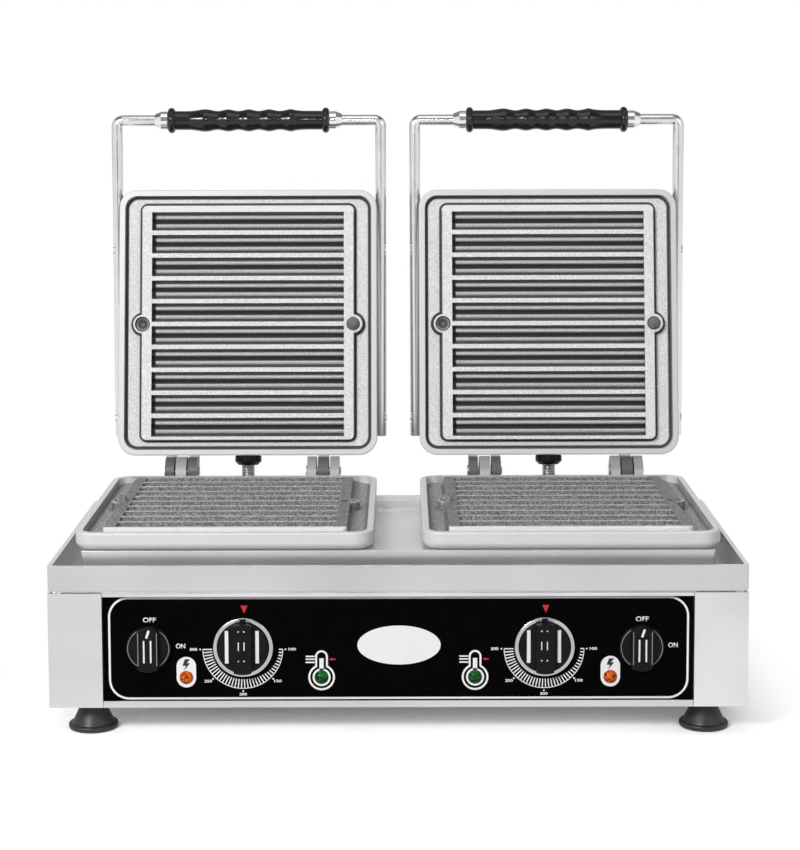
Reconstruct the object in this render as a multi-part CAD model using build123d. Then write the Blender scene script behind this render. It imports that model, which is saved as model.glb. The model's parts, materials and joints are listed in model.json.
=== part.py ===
from build123d import *
import os
from math import cos, radians, sin, tan

# Frame: millimetres, X to the right, Y to the back, Z up.
# The origin is on the floor, in the middle of the four feet.

# Sheet-metal case
case_side_margin = 18.9
case_depth_margin = 15.0
case_height = 94.8
case_sheet = 1.0
case_corner = 1.4
post_width = 44.0
post_return = 8.0
rear_flange = 9.0
top_flange = 11.0
bottom_flange = 12.0
panel_recess = 5.0
panel_sheet = 1.5
panel_side_gap = 0.4
panel_edge_gap = 0.2
rail_lip = 2.8
rail_depth = 13.0
sill_height = 5.4
vent_length = 46.0
vent_width = 5.0
vent_pitch = 13.0
vent_count = 7
vent_inset = 155.0

# Feet
foot_height = 25.0
foot_top_radius = 8.0
foot_cone_radius = 17.4
foot_flange_radius = 20.4
foot_flange_height = 4.6
foot_edge_round = 1.6
foot_inset_x = 31.5
foot_inset_y = 30.4
foot_recess_radius = 7.5
foot_recess_depth = 9.0
foot_screw_radius = 3.0
foot_screw_clearance = 0.1
foot_screw_head_radius = 5.5
foot_screw_head = 4.0
foot_screw_grip = 6.0

# Drip pan and raised deck
pan_gap = 2.0
pan_skirt = 20.5
pan_sheet = 1.2
pan_rim = 3.6
pan_corner = 3.0
pan_opening_margin = 14.0
deck_gutter = 18.6
deck_side_inset = 5.8
deck_rise = 8.7
deck_sheet = 1.2
deck_corner = 2.5
deck_edge_round = 0.8
deck_foot = 10.0
window_margin = 6.0
window_side_margin = 12.8
rib_inset = 61.0
rib_depth = 15.1
rib_height = 8.2
rib_side_gap = 1.3

# Baking plates: one casting pattern, upright below and flipped over above
plate_gap = 40.2
plate_width = 246.0
plate_length = 253.0
plate_height = 15.9
plate_corner = 17.0
plate_back_round = 6.0
plate_overhang = 1.0
rim_width = 5.7
rim_drop = 1.2
rim_round = 1.2
gutter_depth = 6.3
platform_side_margin = 22.0
platform_rear_margin = 14.3
platform_front_margin = 15.1
platform_corner = 5.0
platform_drop = 0.2
platform_round = 0.8
groove_count = 10
groove_width = 17.6
groove_depth = 8.0
groove_end_margin = 9.5
groove_rear_margin = 3.6
groove_front_margin = 6.2
ridge_offset = 3.6
ridge_depth = 3.6
side_flute_offset = 6.4
side_flute_depth = 5.6
wall_foot_offset = 8.2
wall_foot_depth = 3.0
locator_inset = 0.7
locator_shift = 1.8
locator_boss_radius = 9.0
locator_radius = 6.4
locator_rise = 5.4
locator_clearance = 0.7
plate_bolt_outset = 4.0
plate_bolt_inset = 46.5
plate_bolt_radius = 3.0
plate_bolt_clearance = 0.1
plate_bolt_grip = 6.0
plate_bolt_head_radius = 5.2
plate_bolt_head = 4.0

# Heating elements, half sunk in the back of each casting
element_radius = 4.2
element_seat_gap = 0.1
element_legs = 4
element_side_margin = 32.0
element_rear_margin = 50.7
element_front_margin = 37.9
element_bend = 8.0
element_tail = 20.0

# Hinges: one fork and one tongue on each casting
hinge_gap = 15.0
hinge_left_offset = 61.6
hinge_right_offset = 72.2
hinge_lug_radius = 14.0
hinge_tongue = 10.0
hinge_fork_gap = 13.0
hinge_lug_width = 8.5
hinge_arm_overlap = 4.0
hinge_pin_radius = 4.0
hinge_pin_clearance = 0.05
hinge_head_radius = 5.4
hinge_head = 1.4
hinge_tip = 1.6
lid_lean = 9.3

# Adjustable lid stops
stop_depth = 12.0
stop_gap = 0.3
stop_knob_radius = 12.5
stop_knob_height = 9.0
stop_knob_chamfer = 3.4
stop_knob_ribs = 20
stop_knob_notch = 0.8
stop_stud_radius = 6.0
stop_stud_engaged = 6.0
stop_stud_clearance = 0.05
stop_stud_bare = 10.7
stop_stud_tail = 3.0
stop_boss_radius = 9.6
stop_boss_length = 15.0
stop_arm_width = 14.0
stop_arm_height = 8.0

# Lid covers
cover_inset = 1.5
cover_end_gap = 2.0
cover_start = 0.5
cover_top = 56.0
cover_sheet = 1.2
cover_corner = 13.0
cover_round = 4.0
cover_screw_side_inset = 5.0
cover_screw_rear_inset = 47.0
cover_screw_front_inset = 48.0
cover_screw_radius = 2.0
cover_screw_clearance = 0.1
cover_screw_grip = 5.0
cover_screw_head_radius = 4.0
cover_screw_head = 2.2
insulation_side_gap = 8.0
insulation_gap = 0.2
insulation_hole_radius = 4.0

# Lid handles
handle_radius = 5.25
handle_tail = 33.3
handle_overhang = 68.0
handle_end_rise = 7.7
handle_slope = 8.0
handle_bend = 6.0
handle_screw_near = 50.8
handle_screw_spacing = 161.5
handle_screw_radius = 2.0
handle_screw_clearance = 0.1
handle_screw_grip = 5.0
handle_notch_width = 8.8
handle_notch_depth = 2.2
handle_screw_head = 1.8
handle_screw_head_radius = 3.7

# Grips and ferrules
grip_length = 155.0
grip_clearance = 0.08
grip_flange_radius = 12.3
grip_flange = 7.0
grip_neck_radius = 9.1
grip_crest_radius = 10.7
grip_trough_radius = 9.1
grip_shoulder = 19.0
grip_crests = 5
grip_wave = 19.5
grip_end_gap = 0.3
ferrule_length = 12.0
ferrule_cylinder = 6.0
ferrule_radius = 8.9
ferrule_tip_radius = 6.4
ferrule_clearance = 0.05

# Controls on the front panel
switch_inset_left = 81.5
switch_inset_right = 86.7
thermostat_inset_left = 158.5
thermostat_inset_right = 165.6
mains_lamp_inset = 111.8
heat_lamp_inset = 222.3
switch_height = 49.1
thermostat_height = 49.3
lamp_height = 23.7
switch_knob_radius = 18.3
switch_knob_disc = 4.0
switch_wing_width = 17.0
switch_wing_rise = 6.8
thermostat_knob_radius = 20.8
thermostat_knob_disc = 4.0
thermostat_wing_width = 14.5
thermostat_wing_rise = 6.8
wing_round = 1.2
pointer_width = 5.0
pointer_reach = 3.2
pointer_thickness = 1.6
bezel_radius = 24.6
bezel_gap = 0.7
bezel_height = 3.4
bezel_round = 1.2
knob_panel_gap = 0.8
shaft_radius = 3.0
shaft_clearance = 0.05
shaft_hole_radius = 5.0
shaft_grip = 14.0
switch_size = 42.0
switch_depth = 38.0
thermostat_width = 40.0
thermostat_height_size = 34.0
thermostat_depth = 30.0
control_round = 2.0
lamp_lens_radius = 5.7
lamp_lens_rise = 3.2
lamp_body_radius = 4.5
lamp_body_length = 26.0
lamp_hole_clearance = 0.1

# Cord gland in the rear panel, left open because no cord is modelled
gland_inset = 80.0
gland_height = 36.0
gland_thread_radius = 10.0
gland_hole_clearance = 0.1
gland_bore_radius = 4.5
gland_hex_radius = 13.8
gland_hex_length = 6.0
gland_dome_radius = 10.5
gland_dome_length = 15.0
gland_thread_reach = 9.0
gland_nut_length = 5.0
gland_nut_gap = 0.05

# Case screws through the rear flanges
case_screw_radius = 2.0
case_screw_clearance = 0.1
case_screw_head_radius = 3.7
case_screw_head = 2.0
case_screw_grip = 6.0
case_screw_margin = 16.0
case_screws_per_side = 3

# Places of the plates and what they carry, from the hinge line
unit_offset = (plate_width + plate_gap) / 2
plate_end = hinge_gap + plate_length
plate_center_y = -hinge_gap - plate_length / 2
platform_width = plate_width - 2 * platform_side_margin
platform_rear = hinge_gap + platform_rear_margin
platform_length = plate_length - platform_rear_margin - platform_front_margin
groove_length = platform_width - 2 * groove_end_margin
groove_first = platform_rear + groove_rear_margin + groove_width / 2
groove_span = platform_length - groove_rear_margin - groove_front_margin - groove_width
groove_pitch = groove_span / (groove_count - 1)
locator_reach = platform_width / 2 - locator_inset
locator_distance = hinge_gap + plate_length / 2 - locator_shift
plate_bolt_reach = platform_width / 2 + plate_bolt_outset
plate_bolt_spacing = plate_length - 2 * plate_bolt_inset
element_pitch = (platform_width - 2 * element_side_margin) / (element_legs - 1)
element_start = platform_rear + element_rear_margin
element_leg_length = platform_length - element_rear_margin - element_front_margin
cover_screw_reach = platform_width / 2 - cover_screw_side_inset
cover_screw_near = hinge_gap + cover_screw_rear_inset
cover_screw_far = plate_end - cover_screw_front_inset
handle_reach = plate_end + handle_overhang
handle_screw_far = handle_screw_near + handle_screw_spacing
arm_x = plate_width / 2 - cover_inset + handle_radius

# Places of the case, the pan and the deck
side_x = unit_offset + plate_width / 2 + case_side_margin
case_width = 2 * side_x
case_depth = plate_length + case_depth_margin
front_y = -case_depth / 2
back_y = case_depth / 2
case_bottom = foot_height
case_top = case_bottom + case_height
post_inner_x = side_x - post_width
panel_y = front_y + panel_recess
panel_back_y = panel_y + panel_sheet
skirt_bottom = case_top + pan_gap
pan_top = skirt_bottom + pan_skirt
pan_floor = case_top + pan_sheet
deck_top = pan_top + deck_rise
deck_half_width = unit_offset + plate_width / 2 - deck_side_inset
deck_half_depth = back_y - deck_gutter
mating_z = deck_top + plate_height
plate_front_y = -deck_half_depth - plate_overhang
hinge_y = plate_front_y + plate_end
rib_front = deck_half_depth - rib_inset
vent_offset = side_x - vent_inset

# Places of the controls, the stops and the gland
switch_z = case_bottom + switch_height
thermostat_z = case_bottom + thermostat_height
lamp_z = case_bottom + lamp_height
gland_x = gland_inset - side_x
gland_z = case_bottom + gland_height
open_angle = 90.0 + lid_lean
stop_top = hinge_gap - stop_gap
stop_knob_bottom = stop_top - stop_knob_height
stop_boss_top = stop_knob_bottom - stop_stud_bare


def block(x0, x1, y0, y1, z0, z1):
    """A box given by its six planes."""
    size = (x1 - x0, y1 - y0, z1 - z0)
    return Pos((x0 + x1) / 2, (y0 + y1) / 2, (z0 + z1) / 2) * Box(*size)


def rod_x(radius, x0, x1, y=0.0, z=0.0):
    """A cylinder along X."""
    return Pos((x0 + x1) / 2, y, z) * Rot(0, 90, 0) * Cylinder(radius, x1 - x0)


def rod_y(radius, y0, y1, x=0.0, z=0.0):
    """A cylinder along Y."""
    return Pos(x, (y0 + y1) / 2, z) * Rot(90, 0, 0) * Cylinder(radius, y1 - y0)


def rod_z(radius, z0, z1, x=0.0, y=0.0):
    """A cylinder along Z."""
    return Pos(x, y, (z0 + z1) / 2) * Cylinder(radius, z1 - z0)


def rounded_block(width, length, z0, z1, corner, y=0.0):
    """A plate with rounded upright corners, centred on X."""
    outline = Pos(0, y, z0) * RectangleRounded(width, length, corner)
    return extrude(outline, z1 - z0)


def turned(points):
    """A piece turned about Z from radius and height points."""
    outline = Polyline(*[(radius, 0, height) for radius, height in points], close=True)
    return revolve(make_face(outline), Axis.Z)


def edges_at_z(part, z, tolerance=0.01):
    """All edges that lie at one height."""
    return part.edges().filter_by_position(Axis.Z, z - tolerance, z + tolerance)


def side_panel():
    """The left side sheet with its front post and flanges."""
    low = case_bottom
    high = case_top
    wall = block(-side_x, -side_x + case_sheet, front_y, back_y, low, high)
    post = block(-side_x, -post_inner_x, front_y, front_y + case_sheet, low, high)
    turn_x = -post_inner_x - case_sheet
    turn = block(turn_x, -post_inner_x, front_y, front_y + post_return, low + case_sheet, high)
    lap = block(-side_x, -side_x + rear_flange, back_y - case_sheet, back_y, low, high)
    ledge_x = -side_x + top_flange
    ledge = block(-side_x, ledge_x, front_y, back_y, high - case_sheet, high)
    panel = wall + post + turn + lap + ledge
    corners = panel.edges().filter_by(Axis.Z)
    outer = [edge for edge in corners
             if abs(edge.center().X + side_x) < 0.01 and abs(abs(edge.center().Y) - back_y) < 0.01]
    panel = fillet(outer, case_corner * 0.6)
    for z in case_screw_heights():
        y0 = back_y - 2 * case_sheet
        hole_radius = case_screw_radius + case_screw_clearance
        panel -= rod_y(hole_radius, y0, back_y + 1, -side_x + rear_flange / 2, z)
    return panel


def case_screw_heights():
    """Heights of the screws along each rear flange."""
    low = case_bottom + case_screw_margin
    high = case_top - case_screw_margin
    step = (high - low) / (case_screws_per_side - 1)
    return [low + step * index for index in range(case_screws_per_side)]


def rear_panel():
    """The rear sheet, lapped behind the flanges of the side panels."""
    half = side_x - case_sheet - case_sheet - panel_edge_gap
    inner_y = back_y - 2 * case_sheet
    outer_y = back_y - case_sheet
    ledge_half = side_x - top_flange - panel_edge_gap
    low = case_bottom + case_sheet
    high = case_top - case_sheet - panel_edge_gap
    sheet = block(-half, half, inner_y, outer_y, low, high)
    neck = block(-ledge_half, ledge_half, inner_y, outer_y, low, case_top)
    ledge = block(-ledge_half, ledge_half, outer_y - top_flange, outer_y,
                  case_top - case_sheet, case_top)
    panel = sheet + neck + ledge
    hole = gland_thread_radius + gland_hole_clearance
    panel -= rod_y(hole, inner_y - 1, outer_y + 1, gland_x, gland_z)
    screw_hole = case_screw_radius + case_screw_clearance
    for side in (-1, 1):
        for z in case_screw_heights():
            x = side * (side_x - rear_flange / 2)
            panel -= rod_y(screw_hole, inner_y - 1, outer_y + 1, x, z)
        for index in range(vent_count):
            x = side * vent_offset + (index - (vent_count - 1) / 2) * vent_pitch
            z = case_bottom + case_height / 2
            slot = Pos(x, outer_y, z) * Rot(90, 0, 0) * SlotOverall(vent_length, vent_width, 90)
            panel -= extrude(slot, case_sheet * 2, both=True)
    return panel


def foot_places():
    """Names and centres of the four feet."""
    x = side_x - foot_inset_x
    y = back_y - foot_inset_y
    return {
        "front_left": (-x, -y),
        "front_right": (x, -y),
        "rear_left": (-x, y),
        "rear_right": (x, y),
    }


def base_plate():
    """The bottom sheet with its front sill, side flanges and vents."""
    half = side_x - case_sheet
    low = case_bottom
    high = case_bottom + case_sheet
    plate = block(-half, half, front_y + case_sheet, back_y - case_sheet, low, high)
    sill_half = post_inner_x - panel_side_gap
    plate += block(-sill_half, sill_half, front_y, front_y + case_sheet + 1, low, high)
    plate += block(-sill_half, sill_half, front_y, front_y + case_sheet, low, low + sill_height)
    for side in (-1, 1):
        x = side * (half - case_sheet / 2)
        front = front_y + case_sheet + 1
        back = back_y - case_sheet
        plate += block(x - case_sheet / 2, x + case_sheet / 2, front, back,
                       low, low + bottom_flange)
        for index in range(vent_count):
            slot_x = side * vent_offset + (index - (vent_count - 1) / 2) * vent_pitch
            slot = Pos(slot_x, 0, low) * SlotOverall(vent_length, vent_width, 90)
            plate -= extrude(slot, case_sheet * 2, both=True)
    hole = foot_screw_radius + foot_screw_clearance
    for x, y in foot_places().values():
        plate -= rod_z(hole, low - 1, high + 1, x, y)
    return plate


def switch_places():
    """Panel places of the two mains switches."""
    return {"left": switch_inset_left - side_x, "right": side_x - switch_inset_right}


def thermostat_places():
    """Panel places of the two thermostats."""
    return {"left": thermostat_inset_left - side_x, "right": side_x - thermostat_inset_right}


def lamp_places():
    """Panel places of the four lamps."""
    return {
        "mains_lamp_left": mains_lamp_inset - side_x,
        "mains_lamp_right": side_x - mains_lamp_inset,
        "heat_lamp_left": heat_lamp_inset - side_x,
        "heat_lamp_right": side_x - heat_lamp_inset,
    }


def front_panel():
    """The recessed dark control panel between the posts."""
    half = post_inner_x - panel_side_gap
    low = case_bottom + case_sheet + panel_edge_gap
    high = case_top - case_sheet - panel_edge_gap
    panel = block(-half, half, panel_y, panel_back_y, low, high)
    for x in switch_places().values():
        panel -= rod_y(shaft_hole_radius, panel_y - 1, panel_back_y + 1, x, switch_z)
    for x in thermostat_places().values():
        panel -= rod_y(shaft_hole_radius, panel_y - 1, panel_back_y + 1, x, thermostat_z)
    for x in lamp_places().values():
        hole = lamp_body_radius + lamp_hole_clearance
        panel -= rod_y(hole, panel_y - 1, panel_back_y + 1, x, lamp_z)
    return panel


def top_rail():
    """The bright rail that closes the case above the control panel."""
    half = post_inner_x - panel_side_gap
    shelf = block(-half, half, front_y, front_y + rail_depth, case_top - case_sheet, case_top)
    lip = block(-half, half, front_y, front_y + case_sheet, case_top - rail_lip, case_top)
    return shelf + lip


def foot(x, y):
    """One rubber foot with a recess for its screw."""
    outline = [
        (foot_screw_radius + foot_screw_clearance, foot_recess_depth),
        (foot_recess_radius, foot_recess_depth),
        (foot_recess_radius, 0),
        (foot_flange_radius, 0),
        (foot_flange_radius, foot_flange_height),
        (foot_cone_radius, foot_flange_height),
        (foot_top_radius, foot_height),
        (foot_screw_radius + foot_screw_clearance, foot_height),
    ]
    body = turned(outline)
    rims = body.edges().filter_by(GeomType.CIRCLE)
    rims = rims.filter_by(lambda rim: rim.radius > foot_flange_radius - 0.1)
    return Pos(x, y, 0) * fillet(rims, foot_edge_round)


def foot_screws():
    """Four screws that hold the feet to the base plate."""
    screws = []
    for x, y in foot_places().values():
        head_z = foot_recess_depth - foot_screw_head
        tip_z = foot_height + case_sheet + foot_screw_grip
        screw = rod_z(foot_screw_head_radius, head_z, foot_recess_depth, x, y)
        screw += rod_z(foot_screw_radius, foot_recess_depth - 1, tip_z, x, y)
        screws.append(screw)
    return Compound(children=screws)


def case_screws():
    """Screws through the rear flanges into the rear panel."""
    screws = []
    for side in (-1, 1):
        x = side * (side_x - rear_flange / 2)
        for z in case_screw_heights():
            screw = rod_y(case_screw_head_radius, back_y, back_y + case_screw_head, x, z)
            screw += rod_y(case_screw_radius, back_y - case_screw_grip, back_y + 1, x, z)
            screws.append(screw)
    return Compound(children=screws)


def drip_pan():
    """The stainless pan: skirt, rim, gutter and an opening below the deck."""
    corner = pan_corner
    wall_gap = pan_rim - pan_sheet
    outer = rounded_block(case_width, case_depth, skirt_bottom, pan_top, corner)
    core_width = case_width - 2 * pan_sheet
    core_depth = case_depth - 2 * pan_sheet
    outer -= rounded_block(core_width, core_depth, skirt_bottom - 1, pan_top - pan_sheet,
                           corner - pan_sheet)
    basin_width = case_width - 2 * wall_gap
    basin_depth = case_depth - 2 * wall_gap
    basin_corner = corner
    basin = rounded_block(basin_width, basin_depth, case_top, pan_top, basin_corner)
    inner_width = case_width - 2 * pan_rim
    inner_depth = case_depth - 2 * pan_rim
    cavity = rounded_block(inner_width, inner_depth, pan_floor, pan_top + 1, basin_corner - pan_sheet)
    pan = outer + basin - cavity
    opening_width = 2 * (deck_half_width - pan_opening_margin)
    opening_depth = 2 * (deck_half_depth - pan_opening_margin)
    return pan - rounded_block(opening_width, opening_depth, case_top - 1, pan_top, corner)


def deck():
    """The raised deck that carries the lower plates, with windows for the elements."""
    width = 2 * deck_half_width
    depth = 2 * deck_half_depth
    shell = rounded_block(width, depth, pan_floor, deck_top, deck_corner)
    shell = fillet(edges_at_z(shell, deck_top), deck_edge_round)
    inner_width = width - 2 * deck_sheet
    inner_depth = depth - 2 * deck_sheet
    inner_corner = deck_corner - deck_sheet
    shell -= rounded_block(inner_width, inner_depth, pan_floor + deck_sheet,
                           deck_top - deck_sheet, inner_corner)
    mouth_width = width - 2 * deck_foot
    mouth_depth = depth - 2 * deck_foot
    shell -= rounded_block(mouth_width, mouth_depth, pan_floor - 1,
                           pan_floor + deck_sheet + 1, inner_corner)
    for side in (-1, 1):
        x = side * unit_offset
        shell -= Pos(x, hinge_y, 0) * element_window()
        for bolt_x, bolt_y in plate_bolt_places(side):
            hole = plate_bolt_radius + plate_bolt_clearance
            shell -= rod_z(hole, deck_top - 2 * deck_sheet, deck_top + 1, bolt_x, bolt_y)
    return shell


def element_window():
    """The opening in the deck below one element, from the hinge line."""
    half = element_pitch * (element_legs - 1) / 2 + element_radius + window_side_margin
    turn = element_pitch / 2 + element_radius + window_margin
    front = -element_start - element_leg_length - turn
    back = -element_start + turn
    return block(-half, half, front, back, deck_top - 2 * deck_sheet, deck_top + 1)


def plate_bolt_places(side):
    """Places of the four bolts below one lower plate."""
    places = []
    for along in (-1, 1):
        for across in (-1, 1):
            x = side * unit_offset + across * plate_bolt_reach
            places.append((x, along * plate_bolt_spacing / 2))
    return places


def plate_bolts():
    """Bolts that hold the lower plates to the deck."""
    bolts = []
    for side in (-1, 1):
        for x, y in plate_bolt_places(side):
            under = deck_top - deck_sheet
            bolt = rod_z(plate_bolt_head_radius, under - plate_bolt_head, under, x, y)
            bolt += rod_z(plate_bolt_radius, under - 1, deck_top + plate_bolt_grip, x, y)
            bolts.append(bolt)
    return Compound(children=bolts)


def channel_cover():
    """The folded steel channel between the two lower plates."""
    half = unit_offset - plate_width / 2 - rib_side_gap
    back = rib_front + rib_depth
    top = deck_top + rib_height
    cover = block(-half, half, rib_front, back, deck_top, top)
    cover = fillet(cover.edges().filter_by(Axis.X).group_by(Axis.Z)[-1], deck_corner * 0.6)
    inner_front = rib_front + deck_sheet
    inner_back = back - deck_sheet
    return cover - block(-half - 1, half + 1, inner_front, inner_back,
                         deck_top - 1, top - deck_sheet)


def groove():
    """The fluted shape of one baking groove, lying along X with its top at Z zero."""
    half = groove_width / 2
    proud = 1.0
    points = [
        (-half, proud),
        (-half, 0),
        (-wall_foot_offset, -wall_foot_depth),
        (-side_flute_offset, -side_flute_depth),
        (-ridge_offset, -ridge_depth),
        (0, -groove_depth),
        (ridge_offset, -ridge_depth),
        (side_flute_offset, -side_flute_depth),
        (wall_foot_offset, -wall_foot_depth),
        (half, 0),
        (half, proud),
    ]
    outline = Polyline(*[(-groove_length / 2, y, z) for y, z in points], close=True)
    return extrude(make_face(outline), groove_length, dir=(1, 0, 0))


def element_path(tail):
    """The middle line of one heating element: a tail, the legs and turns, a tail."""
    rear = -element_start
    front = rear - element_leg_length
    first_x = -element_pitch * (element_legs - 1) / 2
    bend_middle_y = rear + element_bend * sin(radians(45))
    bend_middle_z = element_bend * (cos(radians(45)) - 1)
    lines = []
    for side in (-1, 1):
        x = side * first_x
        low = (x, rear + element_bend, -tail)
        bend_start = (x, rear + element_bend, -element_bend)
        lines.append(Line(low, bend_start))
        lines.append(ThreePointArc(bend_start, (x, bend_middle_y, bend_middle_z), (x, rear, 0)))
    for index in range(element_legs):
        x = first_x + index * element_pitch
        lines.append(Line((x, rear, 0), (x, front, 0)))
    for index in range(element_legs - 1):
        x = first_x + index * element_pitch
        at_front = index % 2 == 0
        y = front if at_front else rear
        reach = -element_pitch / 2 if at_front else element_pitch / 2
        middle = (x + element_pitch / 2, y + reach, 0)
        lines.append(ThreePointArc((x, y, 0), middle, (x + element_pitch, y, 0)))
    return Wire([line.edge() for line in lines])


def heating_element(radius, tail):
    """One bent element whose legs lie along Y at Z zero, its tails turned down."""
    path = element_path(tail)
    return sweep(Plane(origin=path @ 0, z_dir=path % 0) * Circle(radius), path=path)


def hinge_lug(width, x):
    """One round hinge lug with the arm that joins it to the casting."""
    lug = rod_x(hinge_lug_radius, x - width / 2, x + width / 2)
    arm_front = -hinge_gap - hinge_arm_overlap
    arm = block(x - width / 2, x + width / 2, arm_front, 0, -hinge_lug_radius, -rim_drop - rim_round)
    return lug + arm


def locator_dome(extra=0.0):
    """A round cap that rises from Z zero."""
    radius = locator_radius + extra
    rise = locator_rise + extra
    sphere_radius = (radius * radius + rise * rise) / (2 * rise)
    return Pos(0, 0, rise - sphere_radius) * Sphere(sphere_radius)


def casting(tongue_x, fork_x):
    """One baking plate, face up, with the hinge line along X through the origin."""
    back = -plate_height
    plate = rounded_block(plate_width, plate_length, back, -rim_drop, plate_corner, plate_center_y)
    plate = fillet(edges_at_z(plate, back), plate_back_round)
    plate = fillet(edges_at_z(plate, -rim_drop), rim_round)
    basin_width = plate_width - 2 * rim_width
    basin_length = plate_length - 2 * rim_width
    basin_floor = -rim_drop - gutter_depth
    basin_corner = plate_corner - rim_width
    plate -= rounded_block(basin_width, basin_length, basin_floor, 1, basin_corner, plate_center_y)
    platform_y = -platform_rear - platform_length / 2
    platform = rounded_block(platform_width, platform_length, basin_floor - 1, -platform_drop,
                             platform_corner, platform_y)
    for side in (-1, 1):
        platform += rod_z(locator_boss_radius, basin_floor - 1, -platform_drop,
                          side * locator_reach, -locator_distance)
    platform = fillet(edges_at_z(platform, -platform_drop), platform_round)
    plate += platform
    plate += hinge_lug(hinge_tongue, tongue_x)
    lug_shift = (hinge_fork_gap + hinge_lug_width) / 2
    for side in (-1, 1):
        plate += hinge_lug(hinge_lug_width, fork_x + side * lug_shift)
    bore = hinge_pin_radius + hinge_pin_clearance
    reach = hinge_fork_gap + hinge_lug_width
    plate -= rod_x(bore, tongue_x - reach, tongue_x + reach)
    plate -= rod_x(bore, fork_x - reach, fork_x + reach)
    for index in range(groove_count):
        y = -groove_first - index * groove_pitch
        plate -= Pos(0, y, -platform_drop) * groove()
    plate += Pos(-locator_reach, -locator_distance, -platform_drop) * locator_dome()
    dimple = Rot(180, 0, 0) * locator_dome(locator_clearance)
    plate -= Pos(locator_reach, -locator_distance, -platform_drop) * dimple
    seat_radius = element_radius + element_seat_gap
    plate -= Pos(0, 0, back) * heating_element(seat_radius, element_tail)
    return plate


def open_point(along, depth):
    """Y and Z, from the hinge line, of a place given along and behind the open lid."""
    lean = radians(lid_lean)
    y = along * sin(lean) + depth * cos(lean)
    z = along * cos(lean) - depth * sin(lean)
    return y, z


def stop_axis_rod(radius, start, end):
    """A cylinder on the leaning axis of the lid stop, between two distances."""
    y, z = open_point((start + end) / 2, stop_depth)
    return Pos(0, y, z) * Rot(-lid_lean, 0, 0) * Cylinder(radius, end - start)


def lower_plate(side):
    """A lower casting with its stop boss and the holes for its bolts."""
    plate = casting(-hinge_left_offset, hinge_right_offset)
    boss_bottom = stop_boss_top - stop_boss_length
    boss = stop_axis_rod(stop_boss_radius, boss_bottom, stop_boss_top)
    boss_y = open_point(boss_bottom, stop_depth)[0]
    arm_low = -plate_height
    arm = block(-stop_arm_width / 2, stop_arm_width / 2, -hinge_gap - hinge_arm_overlap, boss_y,
                arm_low, arm_low + stop_arm_height)
    plate += boss + arm
    bore = stop_stud_radius + stop_stud_clearance
    plate -= stop_axis_rod(bore, boss_bottom - 1, stop_boss_top + 1)
    plate = Pos(side * unit_offset, hinge_y, mating_z) * plate
    hole = plate_bolt_radius + plate_bolt_clearance
    for x, y in plate_bolt_places(side):
        plate -= rod_z(hole, deck_top - 1, deck_top + plate_bolt_grip + 0.5, x, y)
    return plate


def stop_studs():
    """The two threaded studs of the lid stops."""
    studs = []
    for side in (-1, 1):
        low = stop_boss_top - stop_boss_length - stop_stud_tail
        high = stop_knob_bottom + stop_stud_engaged
        stud = stop_axis_rod(stop_stud_radius, low, high)
        studs.append(Pos(side * unit_offset, hinge_y, mating_z) * stud)
    return Compound(children=studs)


def stop_knob(side):
    """The ribbed knob whose flat top holds up the open lid."""
    outline = [
        (0, 0),
        (stop_knob_radius - stop_knob_chamfer, 0),
        (stop_knob_radius, stop_knob_chamfer),
        (stop_knob_radius, stop_knob_height - 0.8),
        (stop_knob_radius - 0.8, stop_knob_height),
        (0, stop_knob_height),
    ]
    knob = turned(outline)
    for index in range(stop_knob_ribs):
        notch = rod_z(stop_knob_notch, -1, stop_knob_height + 1, stop_knob_radius + 0.2, 0)
        knob -= Rot(0, 0, 360 / stop_knob_ribs * index) * notch
    bore = stop_stud_radius + stop_stud_clearance
    knob -= rod_z(bore, -1, stop_stud_engaged + stop_gap)
    y, z = open_point(stop_knob_bottom, stop_depth)
    knob = Pos(0, y, z) * Rot(-lid_lean, 0, 0) * knob
    return Pos(side * unit_offset, hinge_y, mating_z) * knob


def hinge_pin():
    """A headed pin along X, centred on its fork."""
    half = hinge_fork_gap / 2 + hinge_lug_width
    head = rod_x(hinge_head_radius, -half - hinge_head, -half)
    shank = rod_x(hinge_pin_radius, -half - 1, half + hinge_tip)
    tip_edges = shank.edges().group_by(Axis.X)[-1]
    return head + chamfer(tip_edges, 0.8)


def base_hinge_pins():
    """The pins held by the forks of the lower plates."""
    pins = []
    for side in (-1, 1):
        x = side * unit_offset + hinge_right_offset
        pins.append(Pos(x, hinge_y, mating_z) * hinge_pin())
    return Compound(children=pins)


def place_lid(side, shape):
    """Moves a piece from the closed lid at the origin to the open lid of one unit."""
    return Pos(side * unit_offset, hinge_y, mating_z) * Rot(-open_angle, 0, 0) * shape


def lid_hinge_pin(side):
    """The pin held by the fork of one upper plate."""
    return place_lid(side, Pos(-hinge_left_offset, 0, 0) * hinge_pin())


def cover_screw_places():
    """Places of the four long screws through one lid cover."""
    places = []
    for across in (-1, 1):
        for along in (cover_screw_near, cover_screw_far):
            places.append((across * cover_screw_reach, -along))
    return places


def upper_plate(side):
    """An upper casting, turned face down, with holes for the cover screws."""
    plate = Rot(0, 180, 0) * casting(-hinge_right_offset, hinge_left_offset)
    hole = cover_screw_radius + cover_screw_clearance
    for x, y in cover_screw_places():
        plate -= rod_z(hole, plate_height - cover_screw_grip - 0.5, plate_height + 1, x, y)
    return place_lid(side, plate)


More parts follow.
